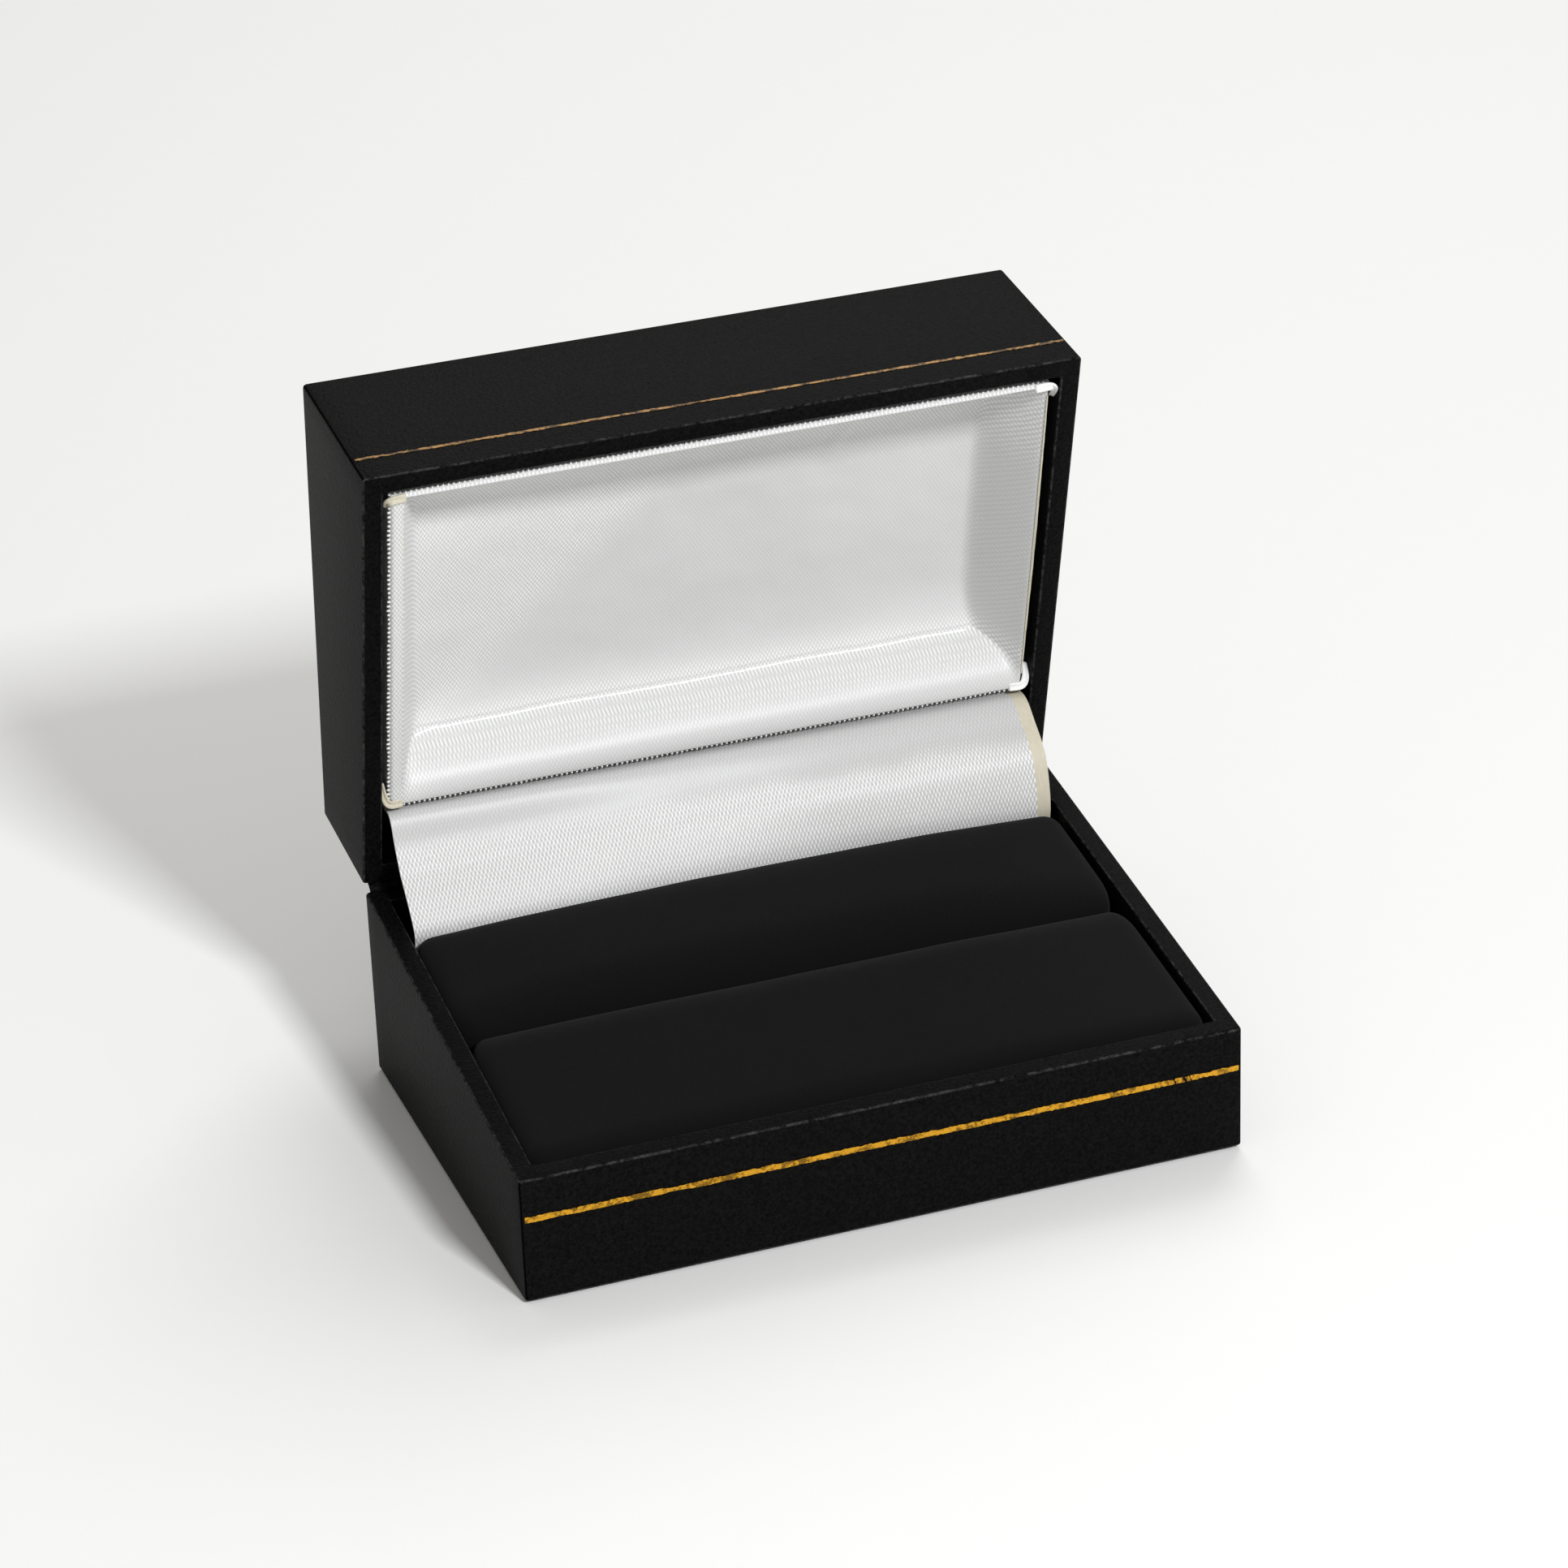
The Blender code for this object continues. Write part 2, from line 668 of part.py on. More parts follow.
def main():
    clear_scene()
    leatherette = material("leatherette_black", (0.012, 0.012, 0.012), 0.55)
    plastic = material("shell_black", (0.02, 0.02, 0.02), 0.5)
    paper = material("paper_black", (0.015, 0.015, 0.015), 0.85)
    gold = material("gold_foil", (0.62, 0.38, 0.08), 0.35, 1.0)
    steel = material("hinge_steel", (0.55, 0.55, 0.56), 0.35, 1.0)
    card = material("card_grey", (0.45, 0.44, 0.42), 0.9)
    satin = material("satin_white", (0.80, 0.80, 0.79), 0.35)
    wadding = material("wadding_white", (0.85, 0.85, 0.84), 0.95)
    velvet = material("velvet_black", (0.010, 0.010, 0.010), 0.95)
    foam = material("foam_grey", (0.10, 0.10, 0.10), 0.95)

    base, lid = Half(is_lid=False), Half(is_lid=True)
    lid_hinge = bpy.data.objects.new("lid_hinge", None)
    lid_hinge.location = HINGE
    lid_hinge.rotation_euler.x = -OPEN_ANGLE
    bpy.context.scene.collection.objects.link(lid_hinge)

    base_shell = shell("base_shell", base, plastic)
    base_wrap = base_cover("base_wrap", base, leatherette)
    bottom_sheet("base_bottom_sheet", paper)
    gold_line("base_gold_line", BASE_FRONT_HEIGHT - BASE_LINE_BELOW_RIM, gold)
    base_leaf = hinge_leaf("hinge_leaf_base", -1, 0, steel)
    hinge_pin("hinge_pin", steel)
    base_notch = hinge_notch("base_notch_tool")
    for piece in (base_shell, base_wrap):
        cut(piece, base_notch)
    for side, place in zip(("left", "right"), rivet_places(-1)):
        hole = rivet_hole("base_rivet_tool_" + side, place)
        for piece in (base_shell, base_wrap, base_leaf):
            cut(piece, hole)
        rivet("base_rivet_" + side, place, steel)

    pad_card("pad_card", card)
    pad_half("front", PAD_FRONT, RING_SLOT - PAD_SPLIT / 2, velvet, foam)
    pad_half("rear", RING_SLOT + PAD_SPLIT / 2, PAD_REAR, velvet, foam)

    lid_shell = shell("lid_shell", lid, plastic)
    lid_wrap = lid_cover("lid_wrap", lid, leatherette)
    lid_line = BASE_FRONT_HEIGHT + RIM_GAP + LID_LINE_ABOVE_RIM
    lid_leaf = hinge_leaf("hinge_leaf_lid", 1, 1, steel)
    lid_notch = hinge_notch("lid_notch_tool")
    for piece in (lid_shell, lid_wrap):
        cut(piece, lid_notch)
    lid_pieces = [
        lid_shell,
        lid_wrap,
        gold_line("lid_gold_line", lid_line, gold),
        lid_leaf,
        lid_notch,
        liner_card("lid_liner_card", card),
        liner_wadding("lid_liner_wadding", wadding),
        liner_satin("lid_liner_satin", satin),
    ]
    for side, place in zip(("left", "right"), rivet_places(1)):
        hole = rivet_hole("lid_rivet_tool_" + side, place)
        for piece in (lid_shell, lid_wrap, lid_leaf):
            cut(piece, hole)
        lid_pieces += [hole, rivet("lid_rivet_" + side, place, steel)]
    for piece in lid_pieces:
        hang_on_lid(piece, lid_hinge)

    hinge_spring("hinge_spring", steel)
    satin_ribbon("satin_ribbon", satin)


main()
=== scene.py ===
"""Looks of a hinged ring and cuff-link box, built on its fixed frame.

The base and the lid are covered in leatherette that is turned in over their rims. The lid holds a
padded satin dish, a satin ribbon hides the hinge, and the base holds a velvet pad in two halves.
Pieces of the lid are modelled with the lid shut, or flat in its rim plane, and are then opened.
"""

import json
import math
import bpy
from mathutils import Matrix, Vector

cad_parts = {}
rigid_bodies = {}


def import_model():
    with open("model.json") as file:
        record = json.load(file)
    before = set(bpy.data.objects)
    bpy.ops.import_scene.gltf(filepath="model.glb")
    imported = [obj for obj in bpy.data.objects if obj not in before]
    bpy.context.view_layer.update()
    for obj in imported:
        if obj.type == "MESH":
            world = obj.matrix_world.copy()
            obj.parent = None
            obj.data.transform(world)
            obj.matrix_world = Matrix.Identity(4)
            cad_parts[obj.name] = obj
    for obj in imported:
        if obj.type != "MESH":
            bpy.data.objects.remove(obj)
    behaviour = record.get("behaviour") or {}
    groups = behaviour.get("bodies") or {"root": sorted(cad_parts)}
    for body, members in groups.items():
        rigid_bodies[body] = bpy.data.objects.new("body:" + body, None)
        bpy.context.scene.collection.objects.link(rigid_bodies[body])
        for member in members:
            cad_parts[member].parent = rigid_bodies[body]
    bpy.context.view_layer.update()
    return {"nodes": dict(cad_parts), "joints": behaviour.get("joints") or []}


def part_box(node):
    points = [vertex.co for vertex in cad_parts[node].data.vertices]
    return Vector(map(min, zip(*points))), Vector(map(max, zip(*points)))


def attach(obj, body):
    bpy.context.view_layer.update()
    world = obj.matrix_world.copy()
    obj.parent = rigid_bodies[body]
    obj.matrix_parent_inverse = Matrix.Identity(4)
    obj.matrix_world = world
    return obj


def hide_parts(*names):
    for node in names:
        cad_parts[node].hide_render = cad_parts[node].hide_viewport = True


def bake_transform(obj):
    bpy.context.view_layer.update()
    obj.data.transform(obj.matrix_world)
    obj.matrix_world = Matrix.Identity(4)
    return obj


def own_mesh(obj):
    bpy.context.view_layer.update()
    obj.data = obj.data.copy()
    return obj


bl_info = {
    "name": "Jewelry box",
    "version": (1, 0, 0),
    "blender": (4, 5, 0),
    "location": "3D View > Sidebar > Jewelry box",
    "description": "Builds the visible pieces of a hinged ring and cuff-link box on its frame",
    "category": "Add Mesh",
}

import bmesh
import bpy
from mathutils import Matrix, Vector, noise

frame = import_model()

MM = 0.001

HINGE_JOINT = frame["joints"][0]
HINGE = Vector(HINGE_JOINT["pos_m"])
OPEN_ANGLE = math.radians(HINGE_JOINT["range_deg"][1])
OPEN = Matrix.Translation(HINGE) @ Matrix.Rotation(-OPEN_ANGLE, 4, "X") @ Matrix.Translation(-HINGE)
SHUT = OPEN.inverted()


class Half:
    """The base, or the shut lid: its outer box, the heights of its rim, and the way that the rim
    faces, 1 for up and -1 for down."""

    def __init__(self, body, covering_node, way, place):
        points = [place @ vertex.co for vertex in frame["nodes"][covering_node].data.vertices]
        self.body = body
        self.way = way
        self.low = Vector([min(point[axis] for point in points) for axis in range(3)])
        self.high = Vector([max(point[axis] for point in points) for axis in range(3)])
        rim_first = max if way > 0 else min
        near = 0.05 * MM
        self.front_rim = rim_first(p.z for p in points if p.y < self.low.y + near)
        self.rear_rim = rim_first(p.z for p in points if p.y > self.high.y - near)
        self.closed_face = self.low.z if way > 0 else self.high.z

    def rim_at(self, y):
        share = (y - self.low.y) / (self.high.y - self.low.y)
        return self.front_rim + (self.rear_rim - self.front_rim) * share


BASE = Half("base", "base_wrap", 1, Matrix.Identity(4))
LID = Half("lid", "lid_wrap", -1, SHUT)
DEPTH = BASE.high.y - BASE.low.y
RIM_ANGLE = math.atan((BASE.rear_rim - BASE.front_rim) / DEPTH)
# Local axes for the lid's lining: X across, Y along the rim plane from its rear edge, Z into the lid
RIM_FRAME = OPEN @ Matrix.Translation((0, DEPTH / 2, LID.rear_rim)) @ Matrix.Rotation(RIM_ANGLE, 4, "X")


def linear(hex_colour):
    """An sRGB hex colour as linear red, green and blue."""
    channels = [int(hex_colour[start : start + 2], 16) / 255 for start in (1, 3, 5)]
    return [c / 12.92 if c <= 0.04045 else ((c + 0.055) / 1.055) ** 2.4 for c in channels]


def colour_property(name, hex_colour, description):
    return bpy.props.FloatVectorProperty(
        name=name,
        description=description,
        subtype="COLOR",
        size=3,
        min=0,
        max=1,
        default=linear(hex_colour),
    )


def length_property(name, millimetres, description):
    return bpy.props.FloatProperty(
        name=name, description=description, default=millimetres * MM, min=0, unit="LENGTH"
    )


class CoveringSizes(bpy.types.PropertyGroup):
    """Leatherette covering and its foil lines."""

    rim_width: length_property("Rim width", 2.1, "Width of the rim, over the wall and two coverings")
    thickness: length_property("Thickness", 0.3, "Thickness of the leatherette")
    turn_in: length_property("Turn-in", 4.0, "How far the covering reaches down inside the wall")
    ragged: length_property("Ragged edge", 0.35, "How uneven the turned-in edge is")
    bottom_return: length_property("Bottom return", 7.0, "How far it is turned in under the base")
    corner_radius: length_property("Corner radius", 0.4, "Radius of the upright corners")
    edge_radius: length_property("Edge radius", 0.22, "Radius of the rim's and the face's edges")
    gap_inset: length_property("Gap inset", 0.6, "From the box's side to the strip over the rear gap")
    seam_depth: length_property("Seam depth", 0.2, "Depth of the slit along the front corners")
    fold_length: length_property("Fold length", 6.0, "Length of the mitred fold on a rim corner")
    fold_height: length_property("Fold height", 0.1, "Height of the mitred fold above the rim")
    base_line_width: length_property("Base line width", 0.6, "Width of the base's foil line")
    lid_line_width: length_property("Lid line width", 0.42, "Width of the lid's foil line")
    line_wear: length_property("Line wear", 0.09, "How uneven the edges of a foil line are")
    base_line: length_property("Base line", 4.35, "From the base's rim down to its foil line")
    lid_line: length_property("Lid line", 4.0, "From the lid's rim up to its foil line")
    leatherette: colour_property("Leatherette", "#090909", "Black leatherette paper")
    worn: colour_property("Worn edge", "#444445", "Leatherette rubbed along its edges")
    base_foil: colour_property("Base foil", "#E0A428", "Foil of the base's line")
    lid_foil: colour_property("Lid foil", "#94703F", "Foil of the lid's line")


class LiningSizes(bpy.types.PropertyGroup):
    """Satin lining of the lid and the ribbon over the hinge."""

    lip: length_property("Lip", 0.45, "Width of the lining's rounded edge")
    right_lip: length_property("Right lip", 0.15, "Width of the lining's edge on the right")
    left_lip: length_property("Left lip", 1.4, "Width of the lining's edge on the left")
    side_run: length_property("Side run", 4.0, "How far a side slope of the dish leans in")
    drawn_run: length_property("Drawn run", 30.0, "How far in the satin is drawn tight on the left")
    drawn_up: bpy.props.FloatProperty(
        name="Drawn up",
        description="Share of the depth by which the tight satin stands off the floor",
        default=0.32,
    )
    front_run: length_property("Front run", 3.8, "How far the front slope of the dish leans in")
    crease_from_rear: length_property("Crease", 4.3, "From the lining's rear edge to its crease")
    crease_depth: length_property("Crease depth", 6.4, "Depth of the satin at the crease")
    swell_reach: length_property("Swell reach", 3.2, "How far the swelling by the crease reaches")
    groove: length_property("Groove", 0.25, "How far the crease is sunk")
    fold_at: length_property("Fold", 19.0, "Where a tension fold starts on the front edge")
    skirt: length_property("Skirt", 3.0, "How far the satin is turned over the card's outer side")
    satin: length_property("Satin", 0.2, "Thickness of the satin")
    spacing: length_property("Grid", 0.4, "Spacing of the cloth's points")
    ribbon_edge: length_property("Ribbon edge", 1.6, "Width of the ribbon's woven right edge")
    tooth_pitch: length_property("Selvage pitch", 0.55, "Spacing of the loops along the selvage")
    weave_across: length_property("Weave across", 0.42, "Spacing of the floats across the warp")
    weave_along: length_property("Weave along", 0.62, "Spacing of the floats along the warp")
    float_depth: length_property("Float depth", 0.013, "Height of a float over the weft")
    colour: colour_property("Satin", "#F2F2F1", "White satin")
    aged: colour_property("Selvage", "#CFC8B4", "Selvage and folds, a little yellowed")


class PadSizes(bpy.types.PropertyGroup):
    """Velvet pad in the base."""

    half_width: length_property("Half width", 35.75, "Half of the pad's width")
    side_radius: length_property("Side radius", 2.0, "Radius of the edges along the walls")
    front_edge: length_property("Front edge", 2.4, "Radius of the edge along the front wall")
    slot_edge: length_property("Slot edge", 4.6, "Radius of the edges along the ring slot")
    rear_edge: length_property("Rear edge", 2.6, "Radius of the edge along the ribbon")
    front_crown: length_property("Front crown", 0.5, "How far the middle of the front half stands up")
    rear_crown: length_property("Rear crown", 1.6, "How far the middle of the rear half stands up")
    height: length_property("Height", 7.5, "From the pad's foot to the rim")
    pressed: bpy.props.FloatProperty(
        name="Pressed",
        description="Share of the pad's height that is left when the lid is shut",
        default=0.86,
    )
    velvet: length_property("Velvet", 0.45, "Thickness of the velvet")
    voxel: length_property("Voxel", 0.5, "Size of the faces that the pad is remeshed to")
    pile: length_property("Pile", 0.12, "Spacing of the velvet's tufts")
    colour: colour_property("Velvet", "#101010", "Black velvet")


class StageSizes(bpy.types.PropertyGroup):
    """Floor, lights and camera."""

    azimuth: bpy.props.FloatProperty(
        name="Azimuth",
        description="Camera's bearing, 0 looking straight at the front",
        default=math.radians(-19.14),
        subtype="ANGLE",
    )
    elevation: bpy.props.FloatProperty(
        name="Elevation",
        description="Camera's angle above the floor",
        default=math.radians(26.2),
        subtype="ANGLE",
    )
    roll: bpy.props.FloatProperty(
        name="Roll",
        description="Camera's turn about its own axis",
        default=math.radians(-2.2),
        subtype="ANGLE",
    )
    place: bpy.props.FloatVectorProperty(
        name="Camera",
        description="Camera's place",
        default=(-158.1 * MM, -453.8 * MM, 273.7 * MM),
        subtype="TRANSLATION",
        unit="LENGTH",
    )
    lens: bpy.props.FloatProperty(name="Lens", description="Focal length in mm", default=122.87)
    floor: colour_property("Floor", "#FCFCFB", "Pale studio floor")


GROUPS = {
    "jewelbox_covering": CoveringSizes,
    "jewelbox_lining": LiningSizes,
    "jewelbox_pad": PadSizes,
    "jewelbox_stage": StageSizes,
}


# Modelling helpers


def alone(obj):
    """Makes this object the only selected one, and the active one."""
    bpy.ops.object.select_all(action="DESELECT")
    bpy.context.view_layer.objects.active = obj
    obj.select_set(True)


def named(name):
    """Names the object that was just added, and returns it."""
    obj = bpy.context.active_object
    obj.name = name
    obj.data.name = name
    return obj


def place_in_mesh(obj):
    """Puts the object's place, turn and scale into its mesh."""
    alone(obj)
    bpy.ops.object.transform_apply(location=True, rotation=True, scale=True)


def add_box(name, corner, opposite):
    bpy.ops.object.select_all(action="DESELECT")
    middle = (Vector(corner) + Vector(opposite)) / 2
    size = [abs(a - b) for a, b in zip(corner, opposite)]
    bpy.ops.mesh.primitive_cube_add(size=1, location=middle, scale=size)
    obj = named(name)
    place_in_mesh(obj)
    return obj


def add_grid(name, columns, rows):
    """A flat square grid with a side of 1, standing for a flat cut of cloth or foil."""
    bpy.ops.object.select_all(action="DESELECT")
    bpy.ops.mesh.primitive_grid_add(x_subdivisions=columns, y_subdivisions=rows, size=1)
    return named(name)


def edit(obj):
    alone(obj)
    bpy.ops.object.mode_set(mode="EDIT")


def stop_editing():
    bpy.ops.object.mode_set(mode="OBJECT")


def select(obj, kind, test):
    """In edit mode, selects only the points, edges or faces that pass the test."""
    bpy.ops.mesh.select_mode(type=kind)
    bpy.ops.mesh.select_all(action="DESELECT")
    mesh = bmesh.from_edit_mesh(obj.data)
    mesh.normal_update()
    for item in {"VERT": mesh.verts, "EDGE": mesh.edges, "FACE": mesh.faces}[kind]:
        item.select_set(test(item))
    mesh.select_flush_mode()
    bmesh.update_edit_mesh(obj.data)


def modify(obj, kind, **settings):
    """Adds a modifier with its settings and applies it."""
    alone(obj)
    modifier = obj.modifiers.new(kind.lower(), kind)
    for key, value in settings.items():
        setattr(modifier, key, value)
    bpy.ops.object.modifier_apply(modifier=modifier.name)


def face_outward(obj):
    edit(obj)
    bpy.ops.mesh.select_all(action="SELECT")
    bpy.ops.mesh.normals_make_consistent(inside=False)
    stop_editing()


def face_front(obj):
    """Turns a flat sheet so that its faces look towards the front of the box."""
    if sum(polygon.normal.y for polygon in obj.data.polygons) > 0:
        obj.data.flip_normals()


def cut_away(obj, corner, opposite):
    """Cuts a box out of the object."""
    tool = add_box("tool", corner, opposite)
    modify(obj, "BOOLEAN", operation="DIFFERENCE", solver="EXACT", object=tool)
    bpy.data.objects.remove(tool)


def smooth(obj, degrees=35):
    alone(obj)
    bpy.ops.object.shade_smooth_by_angle(angle=math.radians(degrees))


def join(obj, others):
    alone(obj)
    for other in others:
        other.select_set(True)
    bpy.ops.object.join()


def give(obj, finish):
    obj.data.materials.clear()
    obj.data.materials.append(finish)


def hand_over(obj, body, slot, *nodes):
    """Makes a finished piece ride on its body and stand for its frame nodes."""
    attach(obj, body)
    if nodes:
        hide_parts(*nodes)


def wobble(seed, *place, size):
    """A smooth random value between about -1 and 1 that changes over the size given."""
    point = Vector([*place, 0, 0][:3]) / size
    return noise.noise(point + Vector((seed * 17.3, seed * 5.1, seed * 9.7)))


def blend_in(value, start, end):
    """0 before start, 1 after end, and smooth between them."""
    share = min(max((value - start) / (end - start), 0), 1)
    return share * share * (3 - 2 * share)


def spline(points, steps=8):
    """A smooth path through all the points."""
    path = []
    ends = [2 * points[0] - points[1], *points, 2 * points[-1] - points[-2]]
    for a, b, c, d in zip(ends, ends[1:], ends[2:], ends[3:]):
        for step in range(steps):
            t = step / steps
            path.append(
                (2 * b + (c - a) * t + (2 * a - 5 * b + 4 * c - d) * t**2 + (3 * b - a - 3 * c + d) * t**3)
                / 2
            )
    path.append(points[-1])
    return path


def path_length(path):
    return sum((b - a).length for a, b in zip(path, path[1:]))


def along_path(path, share):
    """The point at this share of the path's length."""
    left = share * path_length(path)
    for a, b in zip(path, path[1:]):
        step = (b - a).length
        if left <= step:
            return a.lerp(b, left / step if step else 0)
        left -= step
    return path[-1].copy()


def direction(path, share):
    """The way that the path runs at this share of its length."""
    near = 0.02
    return along_path(path, min(share + near, 1)) - along_path(path, max(share - near, 0))


# Materials


def new_finish(name):
    """A material, with its node tree and its shader."""
    finish = bpy.data.materials.new(name)
    finish.use_nodes = True
    return finish, finish.node_tree, finish.node_tree.nodes["Principled BSDF"]


def add_node(tree, kind, inputs=None, **settings):
    """Adds a node with its settings. An input is given a value or is joined to an output."""
    node = tree.nodes.new(kind)
    for key, value in settings.items():
        setattr(node, key, value)
    for key, value in (inputs or {}).items():
        if isinstance(value, bpy.types.NodeSocket):
            tree.links.new(value, node.inputs[key])
        else:
            node.inputs[key].default_value = value
    return node


def rgba(colour, share=1.0):
    return (*[channel * share for channel in colour], 1)


def object_place(tree):
    return add_node(tree, "ShaderNodeTexCoord").outputs["Object"]


def add_noise(tree, place, scale, detail, roughness):
    inputs = {"Vector": place, "Scale": scale, "Detail": detail, "Roughness": roughness}
    return add_node(tree, "ShaderNodeTexNoise", inputs)


def calculate(tree, operation, *values):
    """The result of one sum on numbers or outputs."""
    inputs = dict(enumerate(values))
    return add_node(tree, "ShaderNodeMath", inputs, operation=operation).outputs[0]


def two_tones(tree, value, low, low_colour, high, high_colour):
    """A colour that goes from one to the other as the value goes from low to high."""
    ramp = add_node(tree, "ShaderNodeValToRGB", {"Fac": value})
    for element, position, colour in zip(
        ramp.color_ramp.elements, (low, high), (low_colour, high_colour)
    ):
        element.position = position
        element.color = colour
    return ramp.outputs["Color"]


def emboss(tree, shader, height, depth, strength):
    """Makes the height show as relief of this depth."""
    inputs = {"Height": height, "Distance": depth, "Strength": strength}
    bump = add_node(tree, "ShaderNodeBump", inputs)
    tree.links.new(bump.outputs["Normal"], shader.inputs["Normal"])


def leatherette_finish(sizes):
    """Black leatherette: paper with a printed and embossed grain, matte, rubbed grey at edges."""
    finish, tree, shader = new_finish("leatherette_embossed")
    grain, mottle, scuff = 0.32 * MM, 0.34 * MM, 0.9 * MM
    place = object_place(tree)
    pebbles = add_node(tree, "ShaderNodeTexVoronoi", {"Vector": place, "Scale": 1 / grain})
    fibres = add_noise(tree, place, 1 / grain, 3.0, 0.7)
    height = calculate(tree, "ADD", pebbles.outputs["Distance"], fibres.outputs["Fac"])
    emboss(tree, shader, height, 0.06 * MM, 0.9)
    clouds = add_noise(tree, place, 1 / mottle, 6.0, 0.75).outputs["Fac"]
    dark, light = rgba(sizes.leatherette, 0.35), rgba(sizes.leatherette, 2.6)
    tone = two_tones(tree, clouds, 0.38, dark, 0.66, light)
    rubbed = add_node(tree, "ShaderNodeAttribute", attribute_name="wear")
    patches = add_noise(tree, place, 1 / scuff, 5.0, 0.8)
    torn = add_node(
        tree,
        "ShaderNodeMapRange",
        {"Value": patches.outputs["Fac"], "From Min": 0.42, "From Max": 0.68},
    )
    amount = calculate(tree, "MULTIPLY", rubbed.outputs["Fac"], torn.outputs["Result"])
    # The colour sockets of this node are found by number, as its other types share their names
    colour_a, colour_b, mixed_colour = 6, 7, 2
    colour = add_node(
        tree,
        "ShaderNodeMix",
        {0: amount, colour_a: tone, colour_b: rgba(sizes.worn)},
        data_type="RGBA",
    )
    tree.links.new(colour.outputs[mixed_colour], shader.inputs["Base Color"])
    shader.inputs["Roughness"].default_value = 0.5
    shader.inputs["Specular IOR Level"].default_value = 0.035
    return finish


def foil_finish(name, colour, lost):
    """Hot-stamped foil: thin metal pressed into the grain. Where it is worn away, the share lost is left."""
    finish, tree, shader = new_finish(name)
    grain, scratch = 0.3 * MM, 1.1 * MM
    place = object_place(tree)
    specks = add_noise(tree, place, 1 / grain, 4.0, 0.7).outputs["Fac"]
    worn = add_noise(tree, place, 1 / scratch, 3.0, 0.6).outputs["Fac"]
    mixed = calculate(tree, "ADD", specks, worn)
    kept = add_node(
        tree,
        "ShaderNodeMapRange",
        {"Value": mixed, "From Min": 0.88, "From Max": 1.06, "To Min": lost, "To Max": 1.0},
    )
    tone = add_node(
        tree, "ShaderNodeVectorMath", {0: colour, "Scale": kept.outputs["Result"]}, operation="SCALE"
    )
    tree.links.new(tone.outputs[0], shader.inputs["Base Color"])
    emboss(tree, shader, specks, 0.04 * MM, 0.8)
    shader.inputs["Metallic"].default_value = 0.75
    shader.inputs["Roughness"].default_value = 0.42
    return finish


def satin_finish(name, colour, flat, weave, depth, contrast):
    """Satin weave: warp threads float over the weft in staggered rows, and each catches the light. Where the
    painted-glint mask is high, the floats are also painted lighter, a painted highlight.
    """
    finish, tree, shader = new_finish(name)
    cloth = add_node(tree, "ShaderNodeUVMap", uv_map="UVMap").outputs["UV"]
    # The cloth is a unit square here, so these two are shares of its side
    uneven = add_noise(tree, cloth, 40.0, 2.0, 0.6)
    drift = add_node(
        tree, "ShaderNodeVectorMath", {0: uneven.outputs["Color"], "Scale": 0.0024}, operation="SCALE"
    )
    shifted = add_node(tree, "ShaderNodeVectorMath", {0: cloth, 1: drift.outputs[0]}, operation="ADD")
    turns = (2 * math.pi * flat[0] / weave[0], 2 * math.pi * flat[1] / weave[1], 1)
    threads = add_node(tree, "ShaderNodeVectorMath", {0: shifted.outputs[0], 1: turns}, operation="MULTIPLY")
    split = add_node(tree, "ShaderNodeSeparateXYZ", {0: threads.outputs[0]})
    across = calculate(tree, "COSINE", split.outputs["X"])
    along = calculate(tree, "COSINE", split.outputs["Y"])
    floats = calculate(tree, "MULTIPLY", across, along)
    yarn = 0.3 * MM
    fibres = add_noise(tree, object_place(tree), 1 / yarn, 2.0, 0.6).outputs["Fac"]
    height = calculate(tree, "MULTIPLY_ADD", fibres, 0.7, floats)
    # Painted-glint mask: how much painted highlight the floats get; it also scales the depth of their relief
    painted_glint = add_node(tree, "ShaderNodeAttribute", attribute_name="painted_glint").outputs["Fac"]
    emboss(tree, shader, height, depth, painted_glint)
    # Painted highlight: where the painted-glint mask is 1 the floats are painted lighter than the weft by
    # the contrast, and a float without a painted glint is as dark as the weft
    weft = 1 - contrast
    painted_glint_float = calculate(tree, "MULTIPLY_ADD", painted_glint, contrast, weft)
    shade = add_node(
        tree,
        "ShaderNodeMapRange",
        {"Value": height, "From Min": -0.1, "From Max": 1.1, "To Min": weft, "To Max": painted_glint_float},
        interpolation_type="SMOOTHSTEP",
    )
    tint = add_node(
        tree, "ShaderNodeVectorMath", {0: colour, "Scale": shade.outputs["Result"]}, operation="SCALE"
    )
    tree.links.new(tint.outputs[0], shader.inputs["Base Color"])
    shader.inputs["Roughness"].default_value = 0.42
    shader.inputs["Specular IOR Level"].default_value = 0.5
    return finish


def set_painted_glint(obj, painted_glint_at):
    """Stores the painted-glint mask at each point of the cloth, from 0 to 1: how much painted highlight the
    weave's floats get.
    """
    painted_glint = obj.data.attributes.new("painted_glint", "FLOAT", "POINT")
    for vertex in obj.data.vertices:
        painted_glint.data[vertex.index].value = painted_glint_at(vertex.co)


def plain_finish(name, colour, roughness, grain, depth, metallic=0.0, contrast=0.15, stretch=(1, 1, 1)):
    """A finish with one even grain: its size, its depth, and how much it changes the colour."""
    finish, tree, shader = new_finish(name)
    along = add_node(tree, "ShaderNodeMapping", {"Vector": object_place(tree), "Scale": stretch})
    texture = add_noise(tree, along.outputs[0], 1 / grain, 5.0, 0.65).outputs["Fac"]
    dark, light = rgba(colour, 1 - contrast), rgba(colour, 1 + contrast)
    tone = two_tones(tree, texture, 0.25, dark, 0.75, light)
    tree.links.new(tone, shader.inputs["Base Color"])
    emboss(tree, shader, texture, depth, 0.6)
    shader.inputs["Roughness"].default_value = roughness
    shader.inputs["Metallic"].default_value = metallic
    return finish


# Covering


